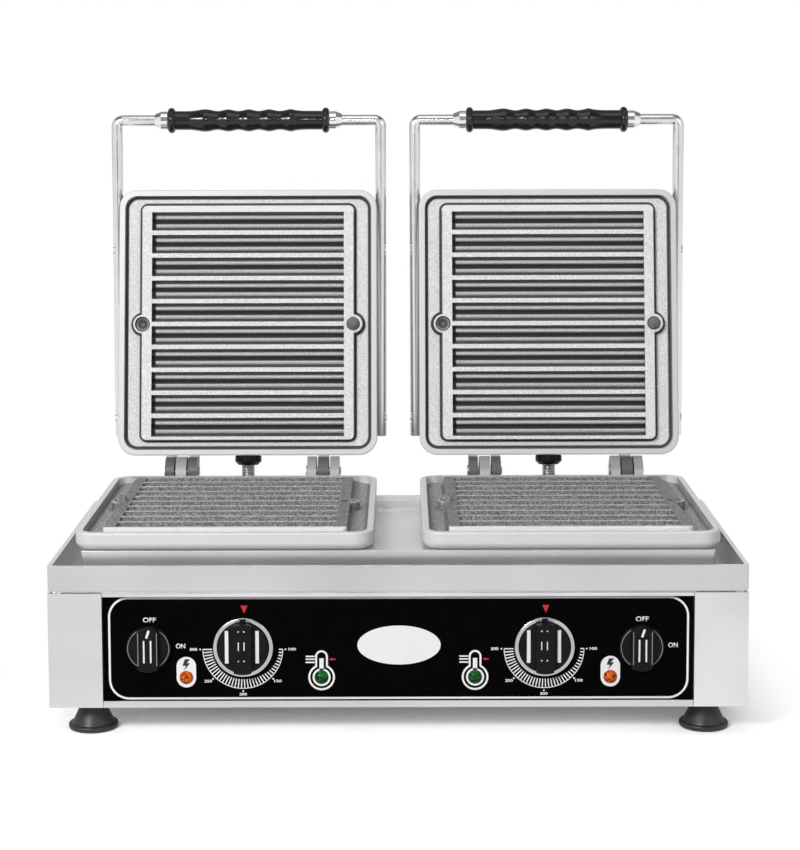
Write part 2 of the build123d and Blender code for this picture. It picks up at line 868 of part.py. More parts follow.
def lid_cover(side):
    """The deep stainless cover behind an upper plate."""
    width = plate_width - 2 * cover_inset
    length = plate_length - 2 * cover_end_gap
    low = plate_height - cover_start
    shell = rounded_block(width, length, low, cover_top, cover_corner, plate_center_y)
    shell = fillet(edges_at_z(shell, cover_top), cover_round)
    inner_width = width - 2 * cover_sheet
    inner_length = length - 2 * cover_sheet
    inner = rounded_block(inner_width, inner_length, low - 1, cover_top - cover_sheet,
                          cover_corner - cover_sheet, plate_center_y)
    inner = fillet(edges_at_z(inner, cover_top - cover_sheet), cover_round - cover_sheet)
    shell -= inner
    hole = cover_screw_radius + cover_screw_clearance
    for x, y in cover_screw_places():
        shell -= rod_z(hole, cover_top - 2 * cover_sheet, cover_top + 1, x, y)
    for across in (-1, 1):
        for along in (handle_screw_near, handle_screw_far):
            x = across * width / 2
            hole_radius = handle_screw_radius + handle_screw_clearance
            shell -= rod_x(hole_radius, x - 2 * cover_sheet, x + 2 * cover_sheet,
                           -along, handle_rise(along))
    return place_lid(side, shell)


def cover_screws(side):
    """Four long screws that draw one lid cover onto its plate."""
    screws = []
    for x, y in cover_screw_places():
        screw = rod_z(cover_screw_radius, plate_height - cover_screw_grip, cover_top + 1, x, y)
        head = rod_z(cover_screw_head_radius, cover_top, cover_top + cover_screw_head, x, y)
        head = fillet(head.edges().group_by(Axis.Z)[-1], cover_screw_head * 0.6)
        screws.append(place_lid(side, screw + head))
    return Compound(children=screws)


def upper_element(side):
    """The heating element of one lid."""
    element = Rot(0, 180, 0) * heating_element(element_radius, element_tail)
    return place_lid(side, Pos(0, 0, plate_height) * element)


def lower_element(side):
    """The heating element below one lower plate."""
    element = heating_element(element_radius, element_tail)
    return Pos(side * unit_offset, hinge_y, deck_top) * element


def insulation(side):
    """The slab of mineral wool inside one lid cover."""
    width = plate_width - 2 * cover_inset - 2 * insulation_side_gap
    length = plate_length - 2 * cover_end_gap - 2 * insulation_side_gap
    low = plate_height + element_radius + insulation_gap
    high = cover_top - cover_sheet - insulation_gap
    slab = rounded_block(width, length, low, high, cover_corner, plate_center_y)
    for x, y in cover_screw_places():
        slab -= rod_z(insulation_hole_radius, low - 1, high + 1, x, y)
    hollow = heating_element(element_radius + insulation_gap, element_tail + insulation_gap)
    slab -= Pos(0, 0, plate_height) * Rot(0, 180, 0) * hollow
    return place_lid(side, slab)


def handle_rise(along):
    """Height of the handle arm above the mating plane at a distance from the hinge."""
    return handle_end_rise + (handle_reach - along) * tan(radians(handle_slope))


def handle_bar(side):
    """The bent round bar of one lid handle."""
    slope = radians(handle_slope)
    arm = (handle_reach - handle_tail) / cos(slope)
    with BuildLine() as path:
        Polyline((-arm_x, arm), (-arm_x, 0), (arm_x, 0), (arm_x, arm))
        fillet(path.vertices().filter_by_position(Axis.Y, -0.01, 0.01), handle_bend)
    start = Plane(origin=(-arm_x, arm, 0), z_dir=(0, -1, 0))
    bar = sweep(start * Circle(handle_radius), path.line)
    bar = Pos(0, -handle_reach, handle_end_rise) * Rot(handle_slope, 0, 0) * bar
    hole = handle_screw_radius + handle_screw_clearance
    for across in (-1, 1):
        outer = across * (arm_x + handle_radius)
        for along in (handle_screw_near, handle_screw_far):
            z = handle_rise(along)
            half = handle_notch_width / 2
            x0 = min(outer, outer - across * handle_notch_depth)
            x1 = max(outer, outer - across * handle_notch_depth)
            notch = block(x0 - 0.01, x1 + 0.01, -along - half, -along + half,
                          z - handle_radius - 1, z + handle_radius + 1)
            bar -= notch
            bar -= rod_x(hole, across * arm_x - handle_radius - 1,
                         across * arm_x + handle_radius + 1, -along, z)
    return place_lid(side, bar)


def handle_screws(side):
    """Four screws that hold one handle bar to the lid cover."""
    screws = []
    for across in (-1, 1):
        seat = across * (arm_x + handle_radius - handle_notch_depth)
        head_end = seat + across * handle_screw_head
        tip = across * (arm_x - handle_radius - cover_sheet - handle_screw_grip)
        for along in (handle_screw_near, handle_screw_far):
            z = handle_rise(along)
            head = rod_x(handle_screw_head_radius, min(seat, head_end), max(seat, head_end),
                         -along, z)
            shank = rod_x(handle_screw_radius, min(tip, seat), max(tip, seat), -along, z)
            screws.append(place_lid(side, head + shank))
    return Compound(children=screws)


def ferrules(side):
    """The two bright ferrules beside one grip."""
    inner = handle_radius + ferrule_clearance
    outline = [
        (inner, 0),
        (ferrule_radius, 0),
        (ferrule_radius, ferrule_cylinder),
        (ferrule_tip_radius, ferrule_length),
        (inner, ferrule_length),
    ]
    pieces = []
    for across in (-1, 1):
        piece = Rot(0, across * 90, 0) * turned(outline)
        x = across * (grip_length / 2 + grip_end_gap)
        pieces.append(place_lid(side, Pos(x, -handle_reach, handle_end_rise) * piece))
    return Compound(children=pieces)


def grip(side):
    """The ribbed insulating grip that turns on the cross bar of one handle."""
    half = grip_length / 2
    flange_end = half - grip_flange
    bore = handle_radius + grip_clearance
    first_crest = -grip_wave * (grip_crests - 1) / 2
    shoulder = first_crest - grip_shoulder
    waves = []
    for index in range(grip_crests):
        crest = first_crest + index * grip_wave
        waves.append((grip_crest_radius, crest))
        if index < grip_crests - 1:
            waves.append((grip_trough_radius, crest + grip_wave / 2))
    with BuildLine() as line:
        Line((bore, -half), (grip_neck_radius, -half))
        ThreePointArc((grip_neck_radius, -half), (grip_flange_radius, -half + grip_flange / 2),
                      (grip_neck_radius, -flange_end))
        Line((grip_neck_radius, -flange_end), (grip_neck_radius, shoulder))
        Spline((grip_neck_radius, shoulder), *waves, (grip_neck_radius, -shoulder),
               tangents=[(0, 1), (0, 1)])
        Line((grip_neck_radius, -shoulder), (grip_neck_radius, flange_end))
        ThreePointArc((grip_neck_radius, flange_end), (grip_flange_radius, half - grip_flange / 2),
                      (grip_neck_radius, half))
        Polyline((grip_neck_radius, half), (bore, half), (bore, -half))
    body = revolve(Plane.XZ * make_face(line.line), Axis.Z)
    body = Rot(0, 90, 0) * body
    return place_lid(side, Pos(0, -handle_reach, handle_end_rise) * body)


def knob_shaft(x, z):
    """The shaft of a control, from inside its knob to its bore behind the panel."""
    outer = panel_y - knob_panel_gap - 1
    return rod_y(shaft_radius, outer, panel_back_y + shaft_grip, x, z)


def switch_knob(x):
    """A mains switch knob: a disc with a broad grip across it."""
    back = panel_y - knob_panel_gap
    face = back - switch_knob_disc
    disc = rod_y(switch_knob_radius, face, back, x, switch_z)
    half = switch_wing_width / 2
    reach = switch_knob_radius
    wing = block(x - half, x + half, face - switch_wing_rise, face + 1,
                 switch_z - reach, switch_z + reach)
    wing = wing & rod_y(switch_knob_radius, face - switch_wing_rise, face + 1, x, switch_z)
    wing = fillet(wing.edges().group_by(Axis.Y)[0], wing_round)
    disc = fillet(disc.edges().group_by(Axis.Y)[0], wing_round)
    return disc + wing + knob_shaft(x, switch_z)


def thermostat_knob(x):
    """A thermostat knob: a disc, a raised grip and a pointer over the ring."""
    back = panel_y - knob_panel_gap
    face = back - thermostat_knob_disc
    disc = rod_y(thermostat_knob_radius, face, back, x, thermostat_z)
    disc = fillet(disc.edges().group_by(Axis.Y)[0], wing_round)
    half = thermostat_wing_width / 2
    reach = thermostat_knob_radius
    wing = block(x - half, x + half, face - thermostat_wing_rise, face + 1,
                 thermostat_z - reach, thermostat_z + reach)
    wing = wing & rod_y(reach, face - thermostat_wing_rise, face + 1, x, thermostat_z)
    wing = fillet(wing.edges().group_by(Axis.Y)[0], wing_round)
    pointer_back = panel_y - bezel_height - bezel_gap
    pointer = block(x - pointer_width / 2, x + pointer_width / 2,
                    pointer_back - pointer_thickness, pointer_back,
                    thermostat_z + reach - 4, thermostat_z + reach + pointer_reach)
    return disc + wing + pointer + knob_shaft(x, thermostat_z)


def bezel(x):
    """The bright ring around a thermostat knob."""
    ring = rod_y(bezel_radius, panel_y - bezel_height, panel_y, x, thermostat_z)
    ring = fillet(ring.edges().group_by(Axis.Y)[0], bezel_round)
    inner = thermostat_knob_radius + bezel_gap
    return ring - rod_y(inner, panel_y - bezel_height - 1, panel_y + 1, x, thermostat_z)


def switch_body(x):
    """The switch block behind the panel, with a bore for the knob shaft."""
    half = switch_size / 2
    body = block(x - half, x + half, panel_back_y, panel_back_y + switch_depth,
                 switch_z - half, switch_z + half)
    body = fillet(body.edges().filter_by(Axis.Y), control_round)
    bore = shaft_radius + shaft_clearance
    return body - rod_y(bore, panel_back_y - 1, panel_back_y + shaft_grip + 1, x, switch_z)


def thermostat_body(x):
    """The thermostat block behind the panel, with a bore for the knob shaft."""
    half_width = thermostat_width / 2
    half_height = thermostat_height_size / 2
    body = block(x - half_width, x + half_width, panel_back_y, panel_back_y + thermostat_depth,
                 thermostat_z - half_height, thermostat_z + half_height)
    body = fillet(body.edges().filter_by(Axis.Y), control_round)
    bore = shaft_radius + shaft_clearance
    return body - rod_y(bore, panel_back_y - 1, panel_back_y + shaft_grip + 1, x, thermostat_z)


def lamp(x):
    """A panel lamp with a domed lens in front of the panel."""
    sphere_radius = (lamp_lens_radius ** 2 + lamp_lens_rise ** 2) / (2 * lamp_lens_rise)
    center_y = panel_y - lamp_lens_rise + sphere_radius
    lens = Pos(x, center_y, lamp_z) * Sphere(sphere_radius)
    lens = lens & rod_y(lamp_lens_radius, panel_y - lamp_lens_rise - 1, panel_y, x, lamp_z)
    return lens + rod_y(lamp_body_radius, panel_y - 0.5, panel_y + lamp_body_length, x, lamp_z)


def gland():
    """The cord gland through the rear panel."""
    z = gland_z
    outer_y = back_y - case_sheet
    hexagon = Plane(origin=(gland_x, outer_y, z), z_dir=(0, 1, 0)) * RegularPolygon(gland_hex_radius, 6)
    body = extrude(hexagon, gland_hex_length)
    dome_start = outer_y + gland_hex_length
    dome = rod_y(gland_dome_radius, dome_start, dome_start + gland_dome_length, gland_x, z)
    dome = fillet(dome.edges().group_by(Axis.Y)[-1], gland_dome_radius * 0.35)
    inner_end = outer_y - case_sheet - gland_thread_reach
    body += dome + rod_y(gland_thread_radius, inner_end, outer_y + 1, gland_x, z)
    return body - rod_y(gland_bore_radius, inner_end - 1,
                        dome_start + gland_dome_length + 1, gland_x, z)


def gland_nut():
    """The nut that holds the gland from inside."""
    z = gland_z
    inner_y = back_y - 2 * case_sheet
    start = Plane(origin=(gland_x, inner_y - gland_nut_length, z), z_dir=(0, 1, 0))
    nut = extrude(start * RegularPolygon(gland_hex_radius, 6), gland_nut_length)
    bore = gland_thread_radius + gland_nut_gap
    return nut - rod_y(bore, inner_y - gland_nut_length - 1, inner_y + 1, gland_x, z)


def build_all():
    """Every node of the appliance, by name."""
    sides = {"left": -1, "right": 1}
    nodes = {
        "side_panel_left": side_panel(),
        "side_panel_right": mirror(side_panel(), Plane.YZ),
        "rear_panel": rear_panel(),
        "base_plate": base_plate(),
        "front_panel": front_panel(),
        "top_rail": top_rail(),
        "foot_screws": foot_screws(),
        "case_screws": case_screws(),
        "drip_pan": drip_pan(),
        "deck": deck(),
        "channel_cover": channel_cover(),
        "plate_bolts": plate_bolts(),
        "stop_studs": stop_studs(),
        "base_hinge_pins": base_hinge_pins(),
        "gland": gland(),
        "gland_nut": gland_nut(),
    }
    for name, place in foot_places().items():
        nodes["foot_" + name] = foot(*place)
    for name, x in lamp_places().items():
        nodes[name] = lamp(x)
    for name, x in switch_places().items():
        nodes["switch_" + name] = switch_body(x)
        nodes["switch_knob_" + name] = switch_knob(x)
    for name, x in thermostat_places().items():
        nodes["thermostat_" + name] = thermostat_body(x)
        nodes["thermostat_knob_" + name] = thermostat_knob(x)
        nodes["bezel_" + name] = bezel(x)
    for name, side in sides.items():
        nodes["lower_plate_" + name] = lower_plate(side)
        nodes["lower_element_" + name] = lower_element(side)
        nodes["stop_knob_" + name] = stop_knob(side)
        nodes["upper_plate_" + name] = upper_plate(side)
        nodes["lid_cover_" + name] = lid_cover(side)
        nodes["cover_screws_" + name] = cover_screws(side)
        nodes["upper_element_" + name] = upper_element(side)
        nodes["insulation_" + name] = insulation(side)
        nodes["handle_bar_" + name] = handle_bar(side)
        nodes["handle_screws_" + name] = handle_screws(side)
        nodes["ferrules_" + name] = ferrules(side)
        nodes["lid_hinge_pin_" + name] = lid_hinge_pin(side)
        nodes["grip_" + name] = grip(side)
    return nodes


os.makedirs("parts", exist_ok=True)
for node_name, shape in build_all().items():
    export_step(shape, "parts/" + node_name + ".step")
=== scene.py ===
import json
from math import asin, cos, pi, radians, sin

import bpy
from mathutils import Matrix, Vector


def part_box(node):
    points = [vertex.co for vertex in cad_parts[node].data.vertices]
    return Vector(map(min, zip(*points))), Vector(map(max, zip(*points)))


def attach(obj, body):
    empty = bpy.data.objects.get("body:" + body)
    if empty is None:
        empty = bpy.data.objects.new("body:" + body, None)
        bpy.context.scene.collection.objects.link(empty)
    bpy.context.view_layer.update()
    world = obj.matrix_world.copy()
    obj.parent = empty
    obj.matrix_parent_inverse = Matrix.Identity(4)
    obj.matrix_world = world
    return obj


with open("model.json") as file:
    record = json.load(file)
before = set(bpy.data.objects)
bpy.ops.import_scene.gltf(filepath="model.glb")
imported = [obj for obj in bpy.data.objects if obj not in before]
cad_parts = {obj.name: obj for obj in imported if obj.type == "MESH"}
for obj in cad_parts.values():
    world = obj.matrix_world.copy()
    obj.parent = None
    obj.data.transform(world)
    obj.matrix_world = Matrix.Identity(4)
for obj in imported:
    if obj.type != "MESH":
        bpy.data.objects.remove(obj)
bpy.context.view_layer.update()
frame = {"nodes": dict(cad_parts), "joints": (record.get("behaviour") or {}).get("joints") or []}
nodes = frame["nodes"]

# All sizes are in metres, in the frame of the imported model.

# Camera, fitted to the photograph
CAMERA_PLACE = (0.00391, -1.77514, 0.52766)
CAMERA_TURN = (1.47368, 0.00263, 0.00078)
CAMERA_LENS = 87.31
CAMERA_SHIFT_Y = -0.16
CAMERA_NEAR = 0.05
CAMERA_FAR = 50.0

# Light
SKY_STRENGTH = 0.42
SKY_LOW = 0.2
SKY_RISE = (-0.15, 0.75)
KEY_PLACE = (-1.2, -2.1, 1.4)
KEY_SIZE = 0.5
KEY_POWER = 48.0
FILL_PLACE = (1.7, -1.9, 1.3)
FILL_SIZE = 0.8
FILL_POWER = 5.0
TOP_PLACE = (0.0, -0.55, 1.9)
TOP_SIZE = 1.0
TOP_POWER = 4.0
GLINT_PLACE = (-0.06, -2.3, 0.98)
GLINT_SIZE = 0.14
GLINT_POWER = 3.5
LAMP_AIM = (0.0, 0.0, 0.24)

# Floor
FLOOR_SIZE = 24.0
FLOOR_MIDDLE_Y = 6.0
FLOOR_DROP = 0.0002
FLOOR_SEEN = 0.66
FLOOR_PLAIN = 0.22
FLOOR_LIFT = 0.02
FLOOR_ROUGHNESS = 0.9
SHADOW_HALF = (0.25, 0.15)
SHADOW_CORNER = 0.02
SHADOW_FADE = (0.0, 0.11)

# What bright metal shows around it, by the share of the turn from front to back
FLAG_END = 0.05
FLAG_LIGHT = 0.25
FLAG_END_LIGHT = 0.3
SIDE_WALL_START = 0.1
SIDE_WALL_END = 0.6
SIDE_WALL_LIGHT = 0.9
CORNER_START = 0.68
CORNER_END = 0.86
CORNER_LIGHT = 0.4
BACK_WALL_START = 0.92
BACK_WALL_LIGHT = 1.0

# What bright metal shows above it, by the upward part of the direction
WALL_FOOT_LIGHT = 0.9
WALL_TOP = 0.5
WALL_TOP_LIGHT = 1.0
GAP_PLACE = 0.7
GAP_LIGHT = 0.15
CEILING_START = 0.9
CEILING_START_LIGHT = 0.3
CEILING_LIGHT = 0.6

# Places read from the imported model
SIDES = {"left": -1, "right": 1}
PANEL_LOW, PANEL_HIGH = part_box("front_panel")
PANEL_Y = PANEL_LOW.y
PLATE_LOW, PLATE_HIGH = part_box("lower_plate_left")
LID_HINGE = next(joint for joint in frame["joints"] if joint["child"] == "lid_left")
HINGE_Y, MATING_Z = LID_HINGE["pos_m"][1:]

# The open lids lean back by this angle past upright
LID_LEAN = radians(LID_HINGE["range_deg"][1] - 90.0)

# Castings, and the painted shade and highlight on them
HINGE_GAP = 0.015
PLATE_WIDTH = PLATE_HIGH.x - PLATE_LOW.x
PLATE_LENGTH = HINGE_Y - HINGE_GAP - PLATE_LOW.y
PLATE_CORNER = 0.018
CASTING_METAL = 0.12
PLATFORM_CORNER = 0.005
PLATFORM_SIDE_MARGIN = 0.022
PLATFORM_END_MARGIN = 0.0147
RIM_WIDTH = 0.0057
# The rim line, platform line, groove ends, locator spots and lugs are painted shade; the band at the front
# of the platform is a painted highlight
RIM_LINE = 0.003
RIM_SOFT = 0.0004
PLATFORM_LINE = 0.0026
PLATFORM_EDGE = (0.0006, -0.0002)
GROOVE_HALF_LENGTH = 0.0915
GROOVE_END_SHADE = 0.0036
STRIP_SOFT = 0.0005
LOCATOR_REACH = 0.1003
LOCATOR_SHIFT = 0.0018
LOCATOR_BOSS = 0.009
LOCATOR_SHADE = 0.0053
LOCATOR_SHADE_LOSS = 0.85
FRONT_HIGHLIGHT_WIDTH = 0.0062
FRONT_HIGHLIGHT_SOFT = 0.001
LUG_SOFT = 0.002
LUG_SHADE_LOSS = 0.9
MARK_SOFT = 0.0006

# Where each painted shade and highlight of a casting starts and where it is full, by its facing and its
# depth
FLAT_FACING = (0.93, 0.985)
SLOPED_FACING = (0.56, 0.62)
CREST_DEPTH = (0.0060, 0.0043)
FLOOR_DEPTH = (0.0060, 0.0072)
END_DEPTH = (0.0006, 0.0014)

# Patterns of the finishes, and the strength and depth of their relief
CLOUD_RANGE = (0.3, 0.7)
# The pebbles are painted lighter on their tops and darker in their dips, as painted sparkle and shade
PEBBLE_SHADE_RANGE = (0.42, 0.62)
BRUSH_ALONG = 6.0
BRUSH_ACROSS = 1600.0
BRUSH_RELIEF = (0.06, 0.0001)
METAL_SMUDGES = 90.0
PLASTIC_SMUDGES = 70.0
THREAD_SCALE = 210.0
THREAD_RELIEF = (0.6, 0.0005)
PEBBLE_SCALE = 620.0
PEBBLE_PATCHES = 30.0
PEBBLE_ROUGHNESS = 0.65
PEBBLE_RELIEF = (0.9, 0.0016)
CASTING_ROUGHNESS = (0.36, 0.52)
WOOL_SCALE = 300.0
WOOL_ROUGHNESS = 0.95
WOOL_RELIEF = (0.8, 0.002)
LENS_FACETS = 520.0
LENS_GLOSS = 0.15
LENS_ROUGHNESS = (0.08, 0.25)

# Half sizes that take in every point of the model
ALL_LENGTHS = 1.0
ALL_HEIGHTS = 9.0

# Printing on the control panel
PRINT_THICKNESS = 0.00015
PRINT_SINK = 0.00005
ARC_STEPS = 12
OVAL_STEPS = 64
SCALE_ARC_STEPS = 60
BULB_STEPS = 40
KNOB_RING_STEPS = 30
BORDER_MARGIN_TOP = 0.0029
BORDER_MARGIN_BOTTOM = 0.0042
BORDER_MARGIN_LEFT = 0.0041
BORDER_MARGIN_RIGHT = 0.0035
BORDER_CORNER = 0.0165
BORDER_LINE = 0.0017
OVAL_X = 0.0006
OVAL_Z = 0.0754
OVAL_WIDTH = 0.068
OVAL_HEIGHT = 0.0325
WORD_HEIGHT = 0.0041
OFF_WORD_RISE = 0.0226
OFF_WORD_SHIFT = 0.0007
OFF_WORD_WIDTH = 0.0106
ON_WORD_REACH = 0.0259
ON_WORD_RISE = 0.0008
ON_WORD_WIDTH = 0.0078
WORD_WEIGHT = 0.025
SCALE_SHIFT_X = -0.0004
SCALE_SHIFT_Z = -0.0022
SCALE_OUTER = 0.0326
SCALE_INNER = 0.0250
SCALE_SWELL = 0.0046
SCALE_LINE = 0.0009
SCALE_ARC_LINE = 0.0006
SCALE_TICKS = 38
SCALE_DOT = 0.0007
SCALE_DOT_REACH = 0.0348
NUMBER_HEIGHT = 0.0023
NUMBER_WIDTH = 0.0062
NUMBER_WEIGHT = 0.035
NUMBER_REACH_X = 0.0403
NUMBER_REACH_Z = 0.0375
NUMBER_LOWEST = 100
NUMBER_STEP = 50
NUMBER_COUNT = 5
MARK_WIDTH = 0.0057
MARK_HEIGHT = 0.0064
MARK_RISE = 0.0310
MARK_SHIFT = 0.0009
PILL_WIDTH = 0.0159
PILL_HEIGHT = 0.0255
PILL_SHIFT = 0.0045
BOLT_HEIGHT = 0.0094
BOLT_RISE = 0.0106
BOLT_HALF = 0.0031
BOLT_TOP_REACH = 0.35
BOLT_ELBOW_DROP = 0.15
BOLT_ELBOW_REACH = 0.1
BOLT_TIP_REACH = 0.6
BOLT_SHOULDER_RISE = 0.3
BOLT_SHOULDER_REACH = 0.15
BULB_RADIUS = 0.0109
BULB_LINE = 0.0016
BULB_RING_OUTER = 0.0074
BULB_RING_INNER = 0.0058
STEM_HALF = 0.0052
STEM_TOP = 0.0225
COLUMN_HALF = 0.00175
COLUMN_TOP = 0.0158
LEVEL_NEAR = -0.0056
LEVEL_FAR = -0.0129
LEVEL_HEIGHTS = (0.0124, 0.015, 0.0174)
LEVEL_LINE = 0.0011
ARROW_NEAR = 0.0064
ARROW_FAR = 0.0113
ARROW_RISE = 0.015
ARROW_HALF = 0.0013
ARROW_HEAD = 0.00208
ARROW_SHAFT_HALF = 0.00052

# Printing on the knobs, and the painted highlights on them
SWITCH_LINE_OFFSET = 0.0028
SWITCH_LINE_WIDTH = 0.0013
SWITCH_LINE_BOTTOM = -0.0101
SWITCH_LINE_TOP = 0.0083
SWITCH_MARK_BOTTOM = 0.0104
SWITCH_MARK_TOP = 0.0168
SWITCH_MARK_WIDTH = 0.0019
SWITCH_MARK_LEAN = 0.0014
# The edge lines and the ring on each switch knob are painted highlights
SWITCH_EDGE_OFFSET = 0.0076
SWITCH_EDGE_WIDTH = 0.0007
SWITCH_EDGE_BOTTOM = -0.0125
SWITCH_EDGE_TOP = 0.0145
SWITCH_GRIP_RISE = 0.0068
SWITCH_WING_HALF = 0.0092
SWITCH_RING_INSET = 0.0012
SWITCH_RING_LINE = 0.0006
THERMOSTAT_GRIP_RISE = 0.0068
# The stripes beside each thermostat grip are painted highlights
STRIPE_OFFSET = 0.0124
STRIPE_SHIFT = -0.0008
STRIPE_RISE = 0.0009
STRIPE_WIDTH = 0.0029
STRIPE_HALF = 0.0135
DOT_SHIFT_Z = 0.0032
DOT_OFFSET = 0.0023
DOT_RISE = 0.0122
DOT_RADIUS = 0.0006
DASH_WIDTH = 0.0008
DASH_HALF = 0.0034


def deselect():
    """Nothing stays selected."""
    bpy.ops.object.select_all(action="DESELECT")


def make_active(piece):
    """Only this piece is selected and active."""
    deselect()
    piece.select_set(True)
    bpy.context.view_layer.objects.active = piece


def named(name):
    """The piece just added, with its name, its place kept in its mesh."""
    piece = bpy.context.active_object
    piece.name = name
    piece.data.name = name
    bpy.ops.object.transform_apply(location=True, rotation=True, scale=True)
    return piece


def joined(pieces, name):
    """Several pieces as one mesh."""
    deselect()
    for piece in pieces:
        piece.select_set(True)
    bpy.context.view_layer.objects.active = pieces[0]
    if len(pieces) > 1:
        bpy.ops.object.join()
    result = bpy.context.active_object
    result.name = name
    result.data.name = name
    return result


def node_center(name):
    """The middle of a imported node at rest."""
    low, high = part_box(name)
    return (low + high) / 2


def arc_points(center_x, center_z, radius, start, end, steps=ARC_STEPS):
    """Points of X and Z along an arc, from one angle to another."""
    points = []
    for step in range(steps + 1):
        angle = start + (end - start) * step / steps
        points.append((center_x + radius * cos(angle), center_z + radius * sin(angle)))
    return points


def circle_points(center_x, center_z, radius, steps=ARC_STEPS):
    """Points of X and Z around a full circle."""
    return arc_points(center_x, center_z, radius, 0, 2 * pi, steps)[:-1]


def rounded_points(left, right, bottom, top, corner):
    """The outline of a rectangle with round corners."""
    points = arc_points(right - corner, top - corner, corner, 0, pi / 2)
    points += arc_points(left + corner, top - corner, corner, pi / 2, pi)
    points += arc_points(left + corner, bottom + corner, corner, pi, 3 * pi / 2)
    points += arc_points(right - corner, bottom + corner, corner, 3 * pi / 2, 2 * pi)
    return points


def flat_print(name, points, front_y):
    """A thin printed shape that faces the front, outlined by points of X and Z."""
    deselect()
    bpy.ops.mesh.primitive_circle_add(vertices=len(points), fill_type="NGON")
    piece = named(name)
    for vertex, (x, z) in zip(piece.data.vertices, points):
        vertex.co = (x, front_y - PRINT_THICKNESS, z)
    return piece


def hollowed(piece, line):
    """Leaves only a line of a flat shape, along its outline."""
    make_active(piece)
    bpy.ops.object.mode_set(mode="EDIT")
    bpy.ops.mesh.select_all(action="SELECT")
    bpy.ops.mesh.inset(thickness=line, use_even_offset=True)
    bpy.ops.mesh.delete(type="FACE")
    bpy.ops.object.mode_set(mode="OBJECT")
    return piece


def solid_print(piece):
    """Gives flat shapes their thickness, towards the back."""
    make_active(piece)
    depth = PRINT_THICKNESS + PRINT_SINK
    bpy.ops.object.mode_set(mode="EDIT")
    bpy.ops.mesh.select_all(action="SELECT")
    bpy.ops.mesh.extrude_region_move(TRANSFORM_OT_translate={"value": (0.0, depth, 0.0)})
    bpy.ops.mesh.select_all(action="SELECT")
    bpy.ops.mesh.normals_make_consistent(inside=False)
    bpy.ops.object.mode_set(mode="OBJECT")
    return piece


def bar_print(name, left, right, bottom, top, front_y):
    """A thin printed bar."""
    return flat_print(name, [(right, top), (left, top), (left, bottom), (right, bottom)], front_y)


def upright_print(name, x, width, bottom, top, front_y):
    """A thin printed line that stands upright."""
    return bar_print(name, x - width / 2, x + width / 2, bottom, top, front_y)


def slanted_print(name, low_point, high_point, width, front_y):
    """A thin printed stroke between two points of X and Z."""
    run = Vector((high_point[0] - low_point[0], high_point[1] - low_point[1]))
    side = Vector((-run.y, run.x)).normalized() * width / 2
    ends = [
        (high_point[0] - side.x, high_point[1] - side.y),
        (high_point[0] + side.x, high_point[1] + side.y),
        (low_point[0] + side.x, low_point[1] + side.y),
        (low_point[0] - side.x, low_point[1] - side.y),
    ]
    return flat_print(name, ends, front_y)


def word_print(name, words, center_x, center_z, height, width, front_y, weight):
    """Words as a flat mesh of the given height and width."""
    deselect()
    bpy.ops.object.text_add()
    text = bpy.context.active_object
    text.data.body = words
    text.data.offset = weight
    bpy.ops.object.convert(target="MESH")
    piece = named(name)
    corners = [vertex.co for vertex in piece.data.vertices]
    low_x = min(corner.x for corner in corners)
    high_x = max(corner.x for corner in corners)
    low_y = min(corner.y for corner in corners)
    high_y = max(corner.y for corner in corners)
    for vertex in piece.data.vertices:
        x = (vertex.co.x - low_x) / (high_x - low_x) - 0.5
        z = (vertex.co.y - low_y) / (high_y - low_y) - 0.5
        vertex.co = (center_x + x * width, front_y - PRINT_THICKNESS, center_z + z * height)
    return piece


def grey(level):
    """A grey with the same level of red, green and blue."""
    return (level, level, level)


def new_material(name):
    """An empty material with its nodes and its shader."""
    material = bpy.data.materials.new(name)
    material.use_nodes = True
    tree = material.node_tree
    shader = tree.nodes["Principled BSDF"]
    return material, tree, shader


def add_node(tree, kind, **settings):
    """Adds a shader node with its settings."""
    node = tree.nodes.new(kind)
    for key, value in settings.items():
        setattr(node, key, value)
    return node


def feed(tree, value, socket):
    """Gives a socket a number, or links a changing value to it."""
    if isinstance(value, float):
        socket.default_value = value
    else:
        tree.links.new(value, socket)


def object_place(tree):
    """The place of each point, in the frame of the model."""
    return add_node(tree, "ShaderNodeTexCoord").outputs["Object"]


def vector_parts(tree, vector):
    """The X, Y and Z of a vector."""
    split = add_node(tree, "ShaderNodeSeparateXYZ")
    tree.links.new(vector, split.inputs["Vector"])
    return split.outputs


def noise(tree, place, scale, detail, roughness=0.5):
    """A soft random pattern over the surface."""
    cloud = add_node(tree, "ShaderNodeTexNoise")
    cloud.inputs["Detail"].default_value = detail
    cloud.inputs["Roughness"].default_value = roughness
    tree.links.new(place, cloud.inputs["Vector"])
    feed(tree, scale, cloud.inputs["Scale"])
    return cloud.outputs["Fac"]


def spread(tree, value, low, high, start=0.0, end=1.0, kind="LINEAR"):
    """A value between a start and an end, spread between a low and a high one."""
    node = add_node(tree, "ShaderNodeMapRange", interpolation_type=kind)
    tree.links.new(value, node.inputs["Value"])
    feed(tree, start, node.inputs["From Min"])
    feed(tree, end, node.inputs["From Max"])
    feed(tree, low, node.inputs["To Min"])
    feed(tree, high, node.inputs["To Max"])
    return node.outputs["Result"]


def smooth_step(tree, value, start, end):
    """A share that rises smoothly from 0 to 1 between two values."""
    return spread(tree, value, 0.0, 1.0, start, end, "SMOOTHSTEP")


def combined(tree, operation, *values):
    """One sum, product, comparison or turn of the given values."""
    node = add_node(tree, "ShaderNodeMath", operation=operation)
    for socket, value in zip(node.inputs, values):
        feed(tree, value, socket)
    return node.outputs["Value"]


def vector_math(tree, operation, first, second=None):
    """One vector alone, or joined to a fixed one by a sum or a comparison."""
    node = add_node(tree, "ShaderNodeVectorMath", operation=operation)
    tree.links.new(first, node.inputs[0])
    if second is not None:
        node.inputs[1].default_value = second
    return node.outputs["Value"] if operation == "LENGTH" else node.outputs["Vector"]


